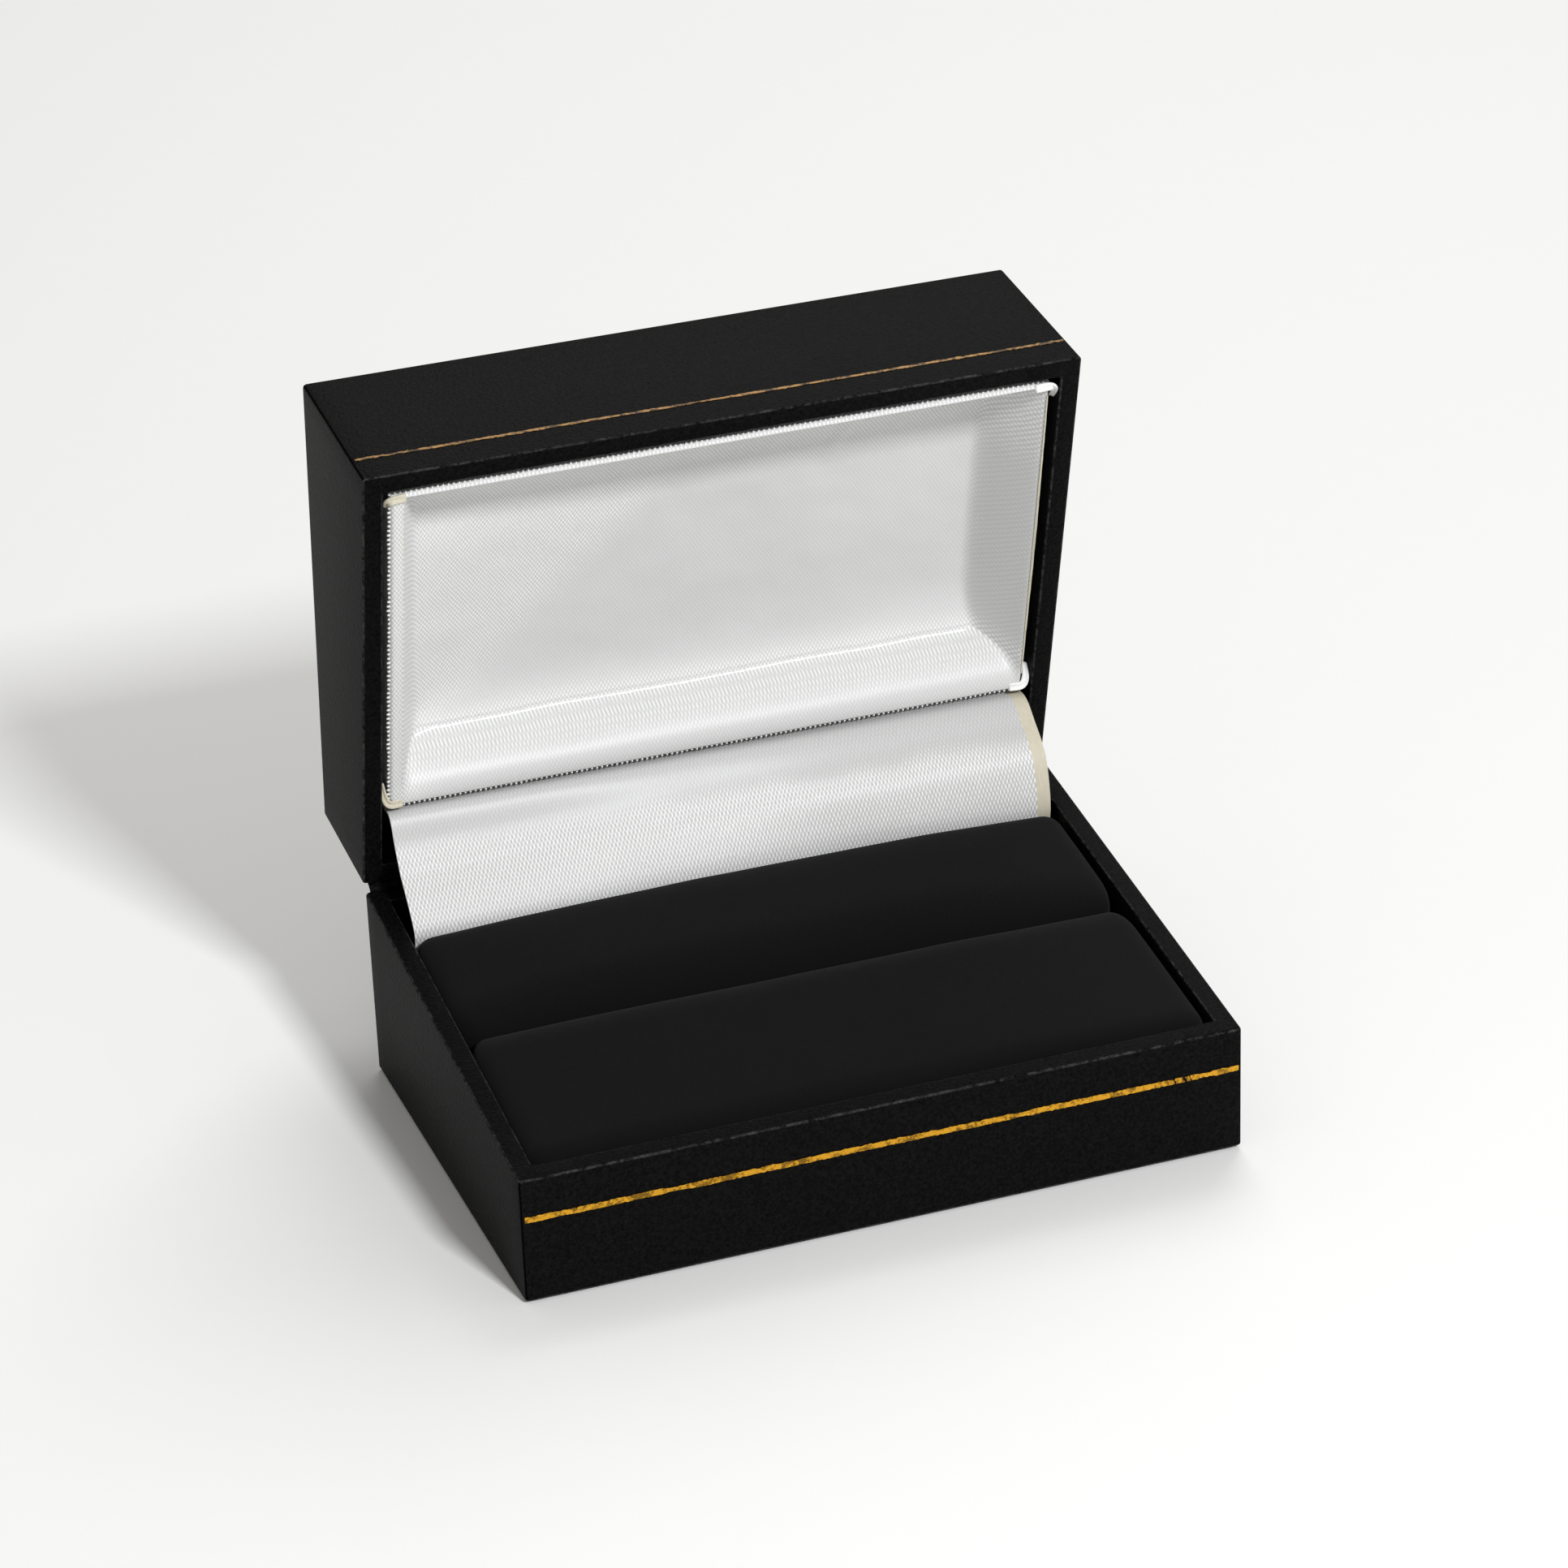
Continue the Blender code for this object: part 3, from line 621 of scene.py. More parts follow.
def mitred_fold(half, side, end, sizes):
    """The front or rear covering, folded over the rim, ends in a mitre on each corner."""
    width, inset = sizes.rim_width, sizes.edge_radius
    corner_x, corner_y = side * half.high.x, end * half.high.y
    inner = width - inset / 2
    # In from the corner along both walls, in the order of a cube's own corners
    outline = [(inset, inset), (inner, inner), (sizes.fold_length, inset), (sizes.fold_length, inner)]
    fold = add_box("fold", (0, 0, 0), (1, 1, 1))
    for index, vertex in enumerate(fold.data.vertices):
        u, v = outline[index // 2]
        lift = sizes.fold_height if u < width else sizes.fold_height / 10
        x, y = corner_x - side * u, corner_y - end * v
        height = lift if index % 2 else -sizes.thickness / 2
        vertex.co = (x, y, half.rim_at(y) + half.way * height)
    return fold


def turned_in_box(name, half, sizes):
    """A box with a sloping rim. Its faces go over the rim and down inside the wall."""
    obj = add_box(
        name,
        (half.low.x, half.low.y, half.closed_face),
        (half.high.x, half.high.y, half.rear_rim),
    )
    edit(obj)
    select(obj, "VERT", lambda v: v.co.y < 0 and abs(v.co.z - half.rear_rim) < MM)
    bpy.ops.transform.translate(value=(0, 0, half.front_rim - half.rear_rim))
    select(obj, "FACE", lambda f: f.normal.z * half.way > 0.9)
    bpy.ops.mesh.inset(thickness=sizes.rim_width)
    bpy.ops.mesh.extrude_region_move(
        TRANSFORM_OT_translate={"value": (0, 0, -half.way * sizes.turn_in)}
    )
    bpy.ops.mesh.delete(type="FACE")
    if half.way > 0:
        select(obj, "FACE", lambda f: f.normal.z < -0.9)
        bpy.ops.mesh.inset(thickness=sizes.bottom_return)
        bpy.ops.mesh.delete(type="FACE")
    stop_editing()
    return obj


def round_edges(obj, half, sizes):
    """Rounds the upright corners, then the other edges, which are also the ones that get rubbed."""
    near = 0.1 * MM

    def upright_corner(edge):
        a, b = (vertex.co for vertex in edge.verts)
        upright = abs(a.x - b.x) < near and abs(a.y - b.y) < near
        return upright and abs(a.x) > half.high.x - near

    edit(obj)
    select(obj, "EDGE", upright_corner)
    bpy.ops.mesh.bevel(offset=sizes.corner_radius, segments=3, affect="EDGES")
    sharp = math.radians(60)
    select(obj, "EDGE", lambda e: len(e.link_faces) == 2 and e.calc_face_angle() > sharp)
    bpy.ops.mesh.bevel(offset=sizes.edge_radius, segments=4, affect="EDGES")
    bpy.ops.mesh.select_less()
    bpy.ops.object.vertex_group_add()
    bpy.ops.object.vertex_group_assign()
    obj.vertex_groups[0].name = "wear"
    stop_editing()


def slice_walls(obj, half, step):
    """Cuts the walls into strips, so that the turned-in edge has points to move."""
    edit(obj)
    for axis in (0, 1):
        reach = half.high[axis]
        for index in range(1, int(2 * reach / step)):
            plane = Vector((0, 0, 0))
            plane[axis] = index * step - reach
            normal = Vector((0, 0, 0))
            normal[axis] = 1
            bpy.ops.mesh.select_all(action="SELECT")
            bpy.ops.mesh.bisect(plane_co=plane, plane_no=normal)
    stop_editing()


def tear_turn_in(obj, half, sizes):
    """Makes the edge of the turn-in uneven."""
    edge, ripple = 0.3 * MM, 2.3 * MM
    for vertex in obj.data.vertices:
        deep = half.way * (half.rim_at(vertex.co.y) - vertex.co.z)
        inside_x = abs(vertex.co.x) < half.high.x - 1.1 * MM
        inside_y = abs(vertex.co.y) < half.high.y - MM
        if inside_x and inside_y and abs(deep - sizes.turn_in) < edge:
            ragged = wobble(3, vertex.co.x, vertex.co.y, size=ripple)
            vertex.co.z -= half.way * sizes.ragged * ragged


def front_seam(obj, half, sizes):
    """Sinks a slit along the middle of both front corners."""

    def corner_middle(face):
        middle = face.calc_center_median()
        diagonal = face.normal.y < -0.6 and abs(face.normal.x) > 0.6 and abs(face.normal.z) < 0.2
        outward = face.normal.x * middle.x > 0
        at_side = abs(middle.x) > half.high.x - 0.1 * MM - sizes.corner_radius
        at_front = middle.y < half.low.y + sizes.corner_radius
        return diagonal and outward and at_side and at_front

    edit(obj)
    select(obj, "FACE", corner_middle)
    bpy.ops.mesh.inset(thickness=0.02 * MM, depth=-sizes.seam_depth)
    stop_editing()


def covering(name, half, sizes):
    """Leatherette over one half of the box, cut out behind for the hinge."""
    obj = turned_in_box(name, half, sizes)
    round_edges(obj, half, sizes)
    slice_walls(obj, half, 3 * MM)
    tear_turn_in(obj, half, sizes)
    modify(obj, "SOLIDIFY", thickness=sizes.thickness, offset=-1, use_even_offset=True)
    front_seam(obj, half, sizes)
    clear = 0.3 * MM
    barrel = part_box("hinge_leaf_base")[1].y - HINGE.y + clear
    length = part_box("hinge_pin")[1].x + clear
    cut_away(
        obj,
        (-length, half.high.y - sizes.rim_width - 0.2 * MM, HINGE.z - barrel),
        (length, HINGE.y + barrel, HINGE.z + barrel),
    )
    folds = [mitred_fold(half, side, end, sizes) for side in (-1, 1) for end in (-1, 1)]
    for fold in folds:
        face_outward(fold)
        modify(fold, "BEVEL", width=0.04 * MM, segments=2)
    join(obj, folds)
    smooth(obj)
    return obj


def gap_strip(name, side, sizes):
    """Leatherette that bridges the gap behind the rims, beside the hinge's barrel."""
    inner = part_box("hinge_pin")[1].x + 0.6 * MM
    outer = BASE.high.x - sizes.gap_inset
    rear, clear = BASE.high.y, 0.12 * MM
    lap, strip = 2 * MM, 0.1 * MM
    over_lid = [OPEN @ Vector((0, rear + clear, LID.rear_rim + up)) for up in (0.45 * MM, lap)]
    path = spline(
        [
            Vector((rear + clear, BASE.rear_rim - lap)),
            Vector((rear + clear, BASE.rear_rim - 0.4 * MM)),
            Vector((HINGE.y - 0.15 * MM, HINGE.z + 0.05 * MM)),
            *[Vector((point.y, point.z)) for point in over_lid],
        ]
    )
    obj = add_grid(name, 12, 24)
    for vertex in obj.data.vertices:
        u, v = vertex.co.x + 0.5, vertex.co.y + 0.5
        point = along_path(path, v)
        x = inner + (outer - inner) * u
        vertex.co = (side * x, point.x, point.y)
    modify(obj, "SOLIDIFY", thickness=strip, offset=0)
    face_outward(obj)
    smooth(obj, 70)
    return obj


class JEWELBOX_OT_coverings(bpy.types.Operator):
    """Covers the base and the lid in leatherette"""

    bl_idname = "jewelbox.coverings"
    bl_label = "Coverings"

    def execute(self, context):
        sizes = context.scene.jewelbox_covering
        finish = leatherette_finish(sizes)
        base = covering("base_covering", BASE, sizes)
        lid = covering("lid_covering", LID, sizes)
        lid.data.transform(OPEN)
        for obj, half, node in ((base, BASE, "base_wrap"), (lid, LID, "lid_wrap")):
            give(obj, finish)
            hand_over(obj, half.body, "leatherette", node)
        for where, side in (("left", -1), ("right", 1)):
            strip = gap_strip("gap_strip_" + where, side, sizes)
            give(strip, finish)
            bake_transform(strip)
        return {"FINISHED"}


def foil_line(name, half, height, width, seed, gaps, sizes):
    """A stamped line on the front: its edges are uneven, and it is lost where it has gaps."""
    foil, clear, step = 0.05 * MM, 0.02 * MM, 0.12 * MM
    length = half.high.x - half.low.x - 2 * sizes.corner_radius
    obj = add_grid(name, int(length / step), 4)
    for vertex in obj.data.vertices:
        x, across = vertex.co.x * length, vertex.co.y * 2
        edge = math.copysign(1, across) if abs(across) > 0.9 else across
        worn = wobble(seed + edge, x, size=0.35 * MM) + 0.6 * wobble(seed - edge, x, size=1.3 * MM)
        drift = 0.05 * MM * wobble(seed + 5, x, size=6 * MM)
        thin = 1 - 0.35 * blend_in(wobble(seed + 9, x, size=4 * MM), 0.1, 0.5)
        z = across * width / 2 * thin + sizes.line_wear * worn * abs(across) + drift
        vertex.co = (x, half.low.y - clear - foil, height + z)

    def lost(face):
        middle = face.calc_center_median()
        slant = 0.5 * (middle.z - height)
        return any(abs(middle.x + slant - start) < gap / 2 for start, gap in gaps)

    edit(obj)
    select(obj, "FACE", lost)
    bpy.ops.mesh.delete(type="FACE")
    stop_editing()
    face_outward(obj)
    face_front(obj)
    modify(obj, "SOLIDIFY", thickness=foil, offset=-1)
    smooth(obj)
    return obj


class JEWELBOX_OT_foil_lines(bpy.types.Operator):
    """Stamps one foil line on the front of the base and one on the front of the lid"""

    bl_idname = "jewelbox.foil_lines"
    bl_label = "Foil lines"

    def execute(self, context):
        sizes = context.scene.jewelbox_covering
        # Where the base's foil is lost, and over what length
        gaps = [(30.6 * MM, 0.16 * MM), (31.7 * MM, 0.3 * MM), (32.3 * MM, 0.12 * MM)]
        height = BASE.front_rim - sizes.base_line
        base = foil_line("base_foil_line", BASE, height, sizes.base_line_width, 11, gaps, sizes)
        height = LID.front_rim + sizes.lid_line
        lid = foil_line("lid_foil_line", LID, height, sizes.lid_line_width, 23, [], sizes)
        lid.data.transform(OPEN)
        give(base, foil_finish("gold_foil_stamped", sizes.base_foil, 0.3))
        # The lid's line is given a darker gold foil colour than the base's
        give(lid, foil_finish("gold_foil_stamped_darker", sizes.lid_foil, 0.12))
        hand_over(base, "base", "gold_foil", "base_gold_line")
        hand_over(lid, "lid", "gold_foil", "lid_gold_line")
        return {"FINISHED"}


# Lining


class Dish:
    """The lining in the rim frame: X across, Y along the rim plane, Z into the lid."""

    def __init__(self, sizes):
        to_rim = RIM_FRAME.inverted()
        satin = [to_rim @ v.co for v in frame["nodes"]["lid_liner_satin"].data.vertices]
        self.half_width = max(point.x for point in satin)
        self.front = min(point.y for point in satin)
        self.rear = max(point.y for point in satin)
        self.top = min(point.z for point in satin)
        self.floor = max(point.z for point in satin) - 0.25 * MM
        self.crease = self.rear - sizes.crease_from_rear
        self.flat = (
            2 * (self.half_width + sizes.skirt),
            self.rear - self.front + 2 * sizes.skirt + self.floor - self.top,
        )

    def painted_glint_at(self, point):
        """Painted glint, from 0.3 to 1: the floats are painted brightest on the drawn-tight left slope, on
        the front slope and by the crease, where the satin faces the key light.
        """
        quiet, crease_reach = 0.3, 1.5 * MM
        drawn = 1 - blend_in(point.x + point.y, -46 * MM, -38 * MM)
        front = 1 - blend_in(point.y - self.front, 6 * MM, 13 * MM)
        pulled = math.exp(-(((point.y - self.crease) / crease_reach) ** 2))
        return quiet + (1 - quiet) * max(drawn, front, pulled)

    def slope(self, inward, run, power):
        """Depth of a slope that starts at the lip, reaches the floor after its run, and goes on."""
        share = min(max(inward / run, 0), 1.6)
        return (self.floor - self.top) * share**power

    def rear_depth(self, y, sizes):
        """Floor, swelling towards the crease, then the rear wall, rounded over to the lip."""
        full = self.floor - self.top
        if y <= self.crease:
            depth = full - (full - sizes.crease_depth) * math.exp((y - self.crease) / sizes.swell_reach)
        else:
            left = max(1 - (y - self.crease) / (self.rear - sizes.lip - self.crease), 0)
            depth = sizes.crease_depth * (1 - math.sqrt(1 - left * left))
        groove_reach = 0.3 * MM
        groove = math.exp(-(((y - self.crease) / groove_reach) ** 2))
        return depth + sizes.groove * groove

    def tight_depth(self, from_left, y, sizes):
        """Beyond the left wall the satin is drawn tight from its front corner, off the floor."""
        full = self.floor - self.top
        most_drawn = 0.62
        drawn = min(max((self.crease - y) / (self.crease - self.front), 0), most_drawn)
        run = sizes.left_lip + sizes.side_run + drawn * sizes.drawn_run
        return full * (1 - sizes.drawn_up) + full * sizes.drawn_up * from_left / run

    def tension_fold(self, x, y, sizes):
        """Height of the slanting tension fold that starts on the front edge."""
        half_width, height, slant = 0.9 * MM, 0.35, 0.45
        inward = y - self.front
        begins = blend_in(inward, 0, 2 * MM)
        ends = blend_in(inward, 7 * MM, 12 * MM)
        across = x - sizes.fold_at + slant * inward
        return height * begins * (1 - ends) * math.exp(-((across / half_width) ** 2))

    def depth_at(self, x, y, sizes):
        """Depth of the satin: the least of its slopes, with soft changes from one to the next."""
        lip = sizes.lip
        full = self.floor - self.top
        from_left = x + self.half_width
        from_right = self.half_width - sizes.right_lip - x
        from_front = max(y - self.front - lip, 0)
        front_run = sizes.front_run * (1 - 7 * x)
        depth = self.rear_depth(y, sizes)
        for other in (
            self.slope(from_left - sizes.left_lip, sizes.side_run, 1),
            self.tight_depth(from_left, y, sizes),
            self.slope(from_right, sizes.side_run, 1.1),
            (full + 0.4 * MM) * (1 - math.exp(-from_front / front_run)),
        ):
            depth = soft_min(depth, other, 1.1 * MM)
        quiet = blend_in(depth, 0.5 * MM, 4 * MM)
        soft = 0.2 * wobble(31, x, y, size=8 * MM) + 0.07 * wobble(37, x, y, size=3 * MM)
        depth -= (quiet * soft + self.tension_fold(x, y, sizes)) * MM
        edge = min(self.half_width - abs(x), y - self.front, self.rear - y)
        rolled = max(1 - edge / lip, 0)
        return self.top + max(depth, 0) + 0.45 * MM * rolled**2


def soft_min(a, b, softness):
    """The smaller of two depths, with the change from one to the other rounded off."""
    share = max(softness - abs(a - b), 0) / softness
    return min(a, b) - share * share * softness / 4


def stations(low, high, step, fine_at, fine_reach):
    """Places from low to high, a step apart, and closer at both ends and round one fold."""
    places = [low]
    while places[-1] < high:
        place = places[-1]
        near_fold = abs(place - fine_at) < fine_reach
        near_end = min(place - low, high - place) < fine_reach
        places.append(place + step * (0.35 if near_fold or near_end else 1))
    places[-1] = high
    return places


def lining(dish, sizes):
    """The satin: its skirt is turned down over the card, and the rest follows the wadding."""
    reach = 0.9 * MM
    columns = stations(-dish.half_width, dish.half_width, sizes.spacing, 1, reach)
    rows = stations(dish.front, dish.rear, sizes.spacing, dish.crease, reach)
    skirt = 3  # rows of points in the skirt
    width, height = len(columns) - 1 + 2 * skirt, len(rows) - 1 + 2 * skirt
    obj = add_grid("lid_lining", width, height)
    cloth = {}
    for vertex in obj.data.vertices:
        column = round((vertex.co.x + 0.5) * width) - skirt
        row = round((vertex.co.y + 0.5) * height) - skirt
        x = columns[min(max(column, 0), len(columns) - 1)]
        y = rows[min(max(row, 0), len(rows) - 1)]
        over = max(-column, column - len(columns) + 1, -row, row - len(rows) + 1, 0)
        depth = dish.depth_at(x, y, sizes)
        depth += over / skirt * (sizes.skirt - sizes.lip)
        side = math.copysign(over * MM, x)
        end = math.copysign(over * MM, y - dish.front - 1)
        cloth[vertex.index] = (x + side, y + end)
        vertex.co = (x, y, depth)
    for loop in obj.data.loops:
        x, y = cloth[loop.vertex_index]
        place = (x / dish.flat[0] + 0.5, (y - dish.front) / dish.flat[1])
        obj.data.uv_layers[0].data[loop.index].uv = place
    near = 0.05 * MM

    def bunched(face):
        """The skirt's corners, which the tucked corners stand for."""
        middle = face.calc_center_median()
        beyond_x = abs(middle.x) > dish.half_width - near
        beyond_y = not dish.front + near < middle.y < dish.rear - near
        return beyond_x and beyond_y

    edit(obj)
    select(obj, "FACE", bunched)
    bpy.ops.mesh.delete(type="FACE")
    bpy.ops.mesh.select_all(action="SELECT")
    bpy.ops.mesh.flip_normals()
    stop_editing()
    modify(obj, "SOLIDIFY", thickness=sizes.satin, offset=-1)
    smooth(obj, 70)
    return obj


def settled(name, node, dish, sizes):
    """A copy of a layer inside the lining, pressed down so that it stays under the satin."""
    obj = bpy.data.objects.new(name, frame["nodes"][node].data.copy())
    bpy.context.scene.collection.objects.link(obj)
    obj.data.transform(RIM_FRAME.inverted())
    edit(obj)
    bpy.ops.mesh.select_all(action="SELECT")
    bpy.ops.mesh.subdivide(number_cuts=9)
    stop_editing()
    # What lies less deep than this is the layer's lip, and moves as one
    lip, under = 2.5 * MM, sizes.satin + 0.4 * MM
    top = min(vertex.co.z for vertex in obj.data.vertices)
    for vertex in obj.data.vertices:
        x, y, z = vertex.co
        level = top if z < lip else z
        vertex.co.z += max(dish.depth_at(x, y, sizes) + under - level, 0)
    obj.data.transform(RIM_FRAME)
    return obj


def selvage(name, start, end, outward, sizes):
    """The satin's outermost warp threads: a row of small loops from one corner to the next."""
    start, end, outward = Vector(start), Vector(end), Vector(outward)
    radius, drawn_out = 0.13 * MM, 0.09 * MM
    bpy.ops.object.select_all(action="DESELECT")
    bpy.ops.mesh.primitive_uv_sphere_add(segments=8, ring_count=5, radius=radius)
    obj = named(name)
    edit(obj)
    select(obj, "VERT", lambda v: v.co.y > 0.04 * MM)
    bpy.ops.transform.translate(value=(0, drawn_out, 0))
    stop_editing()
    count = int((end - start).length / sizes.tooth_pitch)
    modify(
        obj,
        "ARRAY",
        count=count,
        use_relative_offset=False,
        use_constant_offset=True,
        constant_offset_displace=(sizes.tooth_pitch, 0, 0),
    )
    along = (end - start).normalized()
    for vertex in obj.data.vertices:
        tooth = round(vertex.co.x / sizes.tooth_pitch)
        longer = 1 + 0.6 * wobble(41, tooth, size=1.7)
        x, y, z = vertex.co
        vertex.co = start + along * x + outward * y * longer + Vector((0, 0, z))
    smooth(obj, 80)
    return obj


def thread(name, points, radius, bead=None):
    """A thread through the points, a little uneven, or a string of beads at the pitch given."""
    path = spline([Vector(point) for point in points])
    length = path_length(path)
    sides, count = 8, int(length / (bead / 5 if bead else 0.5 * MM))
    obj = add_grid(name, count, sides)
    for vertex in obj.data.vertices:
        share, angle = vertex.co.x + 0.5, 2 * math.pi * (vertex.co.y + 0.5)
        point = along_path(path, share)
        ahead = direction(path, share)
        aside = ahead.cross(Vector((0.1, 0.2, 1))).normalized()
        above = ahead.cross(aside).normalized()
        thick = radius * (1 + 0.3 * wobble(71, *point, size=1.2 * MM))
        if bead:
            thick *= 0.45 + 0.55 * abs(math.sin(math.pi * share * length / bead))
        vertex.co = point + (aside * math.cos(angle) + above * math.sin(angle)) * thick
    edit(obj)
    bpy.ops.mesh.select_all(action="SELECT")
    bpy.ops.mesh.remove_doubles(threshold=0.001 * MM)
    bpy.ops.mesh.select_all(action="DESELECT")
    bpy.ops.mesh.select_mode(type="EDGE")
    bpy.ops.mesh.select_non_manifold()
    bpy.ops.mesh.fill()
    stop_editing()
    face_outward(obj)
    smooth(obj, 80)
    return obj


def corner_curl(name, points, width, thickness):
    """A corner of the satin, gathered to a narrow strip and tucked round the card."""
    path = spline([Vector(point) * MM for point in points])
    obj = add_grid(name, 24, 6)
    for vertex in obj.data.vertices:
        share, across = vertex.co.x + 0.5, vertex.co.y
        point = along_path(path, share)
        ahead = direction(path, share)
        aside = ahead.cross(Vector((0.35, 0.35, 1))).normalized()
        crimp = 0.12 * MM * math.cos(across * 3 * math.pi) * (0.4 + share)
        taper = 1 - 0.45 * share**2
        vertex.co = point + aside * across * width * taper + Vector((0, 0, crimp))
    modify(obj, "SOLIDIFY", thickness=thickness, offset=0)
    modify(obj, "SUBSURF", levels=1, render_levels=1)
    smooth(obj, 80)
    return obj


def selvage_loops(dish, sizes):
    """Loops along the front, left and rear edges, as one piece."""
    w, f, r, level = dish.half_width, dish.front, dish.rear, dish.top + 0.35 * MM
    edges = {
        "front": ((-w, f, level), (w, f, level), (0, -1, 0)),
        "left": ((-w, f, level), (-w, r, level), (-1, 0, 0)),
        "rear": ((-w, r, level), (w, r, level), (0, 1, 0)),
    }
    rows = [selvage("lid_lining_selvage_" + side, *edge, sizes) for side, edge in edges.items()]
    join(rows[0], rows[1:])
    return rows[0]


def crease_thread(dish, sizes):
    """The satin is pulled tight over the crease, in small beads."""
    raised, radius, bead = 0.38 * MM, 0.2 * MM, 0.62 * MM
    places = [2.05 * MM * step for step in range(-15, 16)]
    points = [(x, dish.crease, dish.depth_at(x, dish.crease, sizes) - raised) for x in places]
    return thread("lid_lining_crease", points, radius, bead)


def edge_threads(dish):
    """A loose thread on the left lip and a thinner one on the right."""
    w, f, r, level = dish.half_width, dish.front, dish.rear, dish.top + 0.35 * MM
    middle, inset = (f + r) / 2, 1.45 * MM
    left = [
        (inset - w, f + 1.2 * MM, level),
        (inset - w, middle, level + 0.2 * MM),
        (inset / 2 - w, r - 4 * MM, level),
    ]
    right = [
        (w - 0.2 * MM, f + 1.5 * MM, level - 0.3 * MM),
        (w, middle, level - 0.2 * MM),
        (w - 0.1 * MM, r - 2 * MM, level - 0.2 * MM),
    ]
    return [
        thread("lid_lining_edge_left", left, 0.14 * MM),
        thread("lid_lining_edge_right", right, 0.09 * MM),
    ]


def corner_curls(dish, sizes):
    """The four tucked corners. Each runs along the edge, round the corner and down its side."""
    w, f, r, t = (value / MM for value in (dish.half_width, dish.front, dish.rear, dish.top))
    paths = {
        "front_right": [
            (w - 1.6, f + 0.4, t),
            (w, f + 0.3, t - 0.1),
            (w + 0.6, f + 1.1, t + 0.3),
            (w + 0.7, f + 2.4, t + 1.2),
        ],
        "front_left": [
            (1.6 - w, f + 0.4, t),
            (-w, f + 0.5, t - 0.1),
            (-w - 0.3, f + 1.2, t + 0.4),
            (0.2 - w, f + 2.2, t + 1.4),
        ],
        "rear_right": [
            (w - 1.4, r - 0.5, t),
            (w, r - 0.6, t - 0.1),
            (w + 0.5, r - 1.4, t + 0.3),
            (w + 0.6, r - 2.6, t + 1.2),
        ],
        "rear_left": [
            (1.4 - w, r - 0.5, t),
            (-w, r - 0.6, t - 0.1),
            (-w - 0.5, r - 1.4, t + 0.3),
            (-w - 0.6, r - 2.6, t + 1.2),
        ],
    }
    width = 0.9 * MM
    return [
        corner_curl("lid_lining_corner_" + where, points, width, sizes.satin)
        for where, points in paths.items()
    ]


class JEWELBOX_OT_lid_lining(bpy.types.Operator):
    """Lines the lid with padded satin, with its selvage and its tucked corners"""

    bl_idname = "jewelbox.lid_lining"
    bl_label = "Lid lining"

    def execute(self, context):
        sizes = context.scene.jewelbox_lining
        dish = Dish(sizes)
        weave = (sizes.weave_across, sizes.weave_along)
        contrast = 0.3
        satin = satin_finish(
            "satin_polyester", sizes.colour, dish.flat, weave, sizes.float_depth, contrast
        )
        # Loose yarn, a little yellowed
        yarn = plain_finish("selvage_yarn", sizes.aged, 0.6, 0.3 * MM, 0.03 * MM)
        # Loops and tucked satin that are still white
        white = plain_finish("selvage_loops", sizes.colour, 0.5, 0.2 * MM, 0.02 * MM)
        # Satin pulled tight over the crease: glossier than the rest
        pulled = plain_finish("satin_pulled", sizes.colour, 0.22, 0.2 * MM, 0.01 * MM)

        def finish_piece(obj, finish, *nodes):
            obj.data.transform(RIM_FRAME)
            give(obj, finish)
            hand_over(obj, "lid", "satin", *nodes)

        main = lining(dish, sizes)
        # Painted highlight mask for the lining's floats
        set_painted_glint(main, dish.painted_glint_at)
        finish_piece(main, satin, "lid_liner_satin")
        loops = selvage_loops(dish, sizes)
        finish_piece(loops, white)
        finish_piece(crease_thread(dish, sizes), pulled)
        for edge in edge_threads(dish):
            finish_piece(edge, yarn)
        for curl in corner_curls(dish, sizes):
            finish_piece(curl, white if curl.name.endswith("right") else yarn)
        return {"FINISHED"}


def ribbon(sizes, spacing):
    """The strip over the hinge. Its right end bulges forward more than its left end."""
    low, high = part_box("satin_ribbon")
    pad_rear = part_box("pad_velvet_rear")[1].y
    dish = Dish(sizes)
    edge = RIM_FRAME @ Vector((0, dish.rear + 1.15 * MM, dish.top + 2.1 * MM))
    lap = RIM_FRAME @ Vector((0, dish.rear + 0.6 * MM, dish.top + 6 * MM))
    behind_pad = pad_rear + 0.35 * MM
    tail = [Vector((behind_pad, low.z)), Vector((behind_pad, 16.5 * MM))]
    top = [Vector((edge.y, edge.z)), Vector((lap.y, lap.z))]
    # Side view between the tail and the top, as mm back from the middle and mm up
    left = [(17.4, 19.2), (19.0, 21.6), (21.1, 24.0), (22.6, 26.6), (24.1, 29.6)]
    right = [(17.3, 19.6), (17.6, 22.6), (18.6, 25.6), (21.2, 27.9), (23.6, 29.6)]
    paths = [tail + [Vector(point) * MM for point in points] + top for points in (left, right)]
    left_path, right_path = (spline(path) for path in paths)
    length = (path_length(left_path) + path_length(right_path)) / 2
    flat = (high.x - low.x, length)
    ripple, kink_height, kink_at, kink_reach = 0.35 * MM, 0.1 * MM, 0.6, 0.02
    obj = add_grid("hinge_ribbon", round(flat[0] / spacing), round(length / spacing))
    for vertex in obj.data.vertices:
        u, v = vertex.co.x + 0.5, vertex.co.y + 0.5
        side = blend_in(u, 0.0, 1.0)
        point = along_path(left_path, v).lerp(along_path(right_path, v), side)
        loose = math.sin(math.pi * v) ** 2
        point.x -= loose * ripple * wobble(53, u * flat[0], v * length, size=11 * MM)
        kink = math.exp(-(((v - kink_at) / kink_reach) ** 2))
        point.x += kink_height * kink
        vertex.co = (low.x + u * flat[0], point.x, point.y)
    face_front(obj)
    modify(obj, "SOLIDIFY", thickness=sizes.satin, offset=0)
    smooth(obj, 70)
    return obj, flat


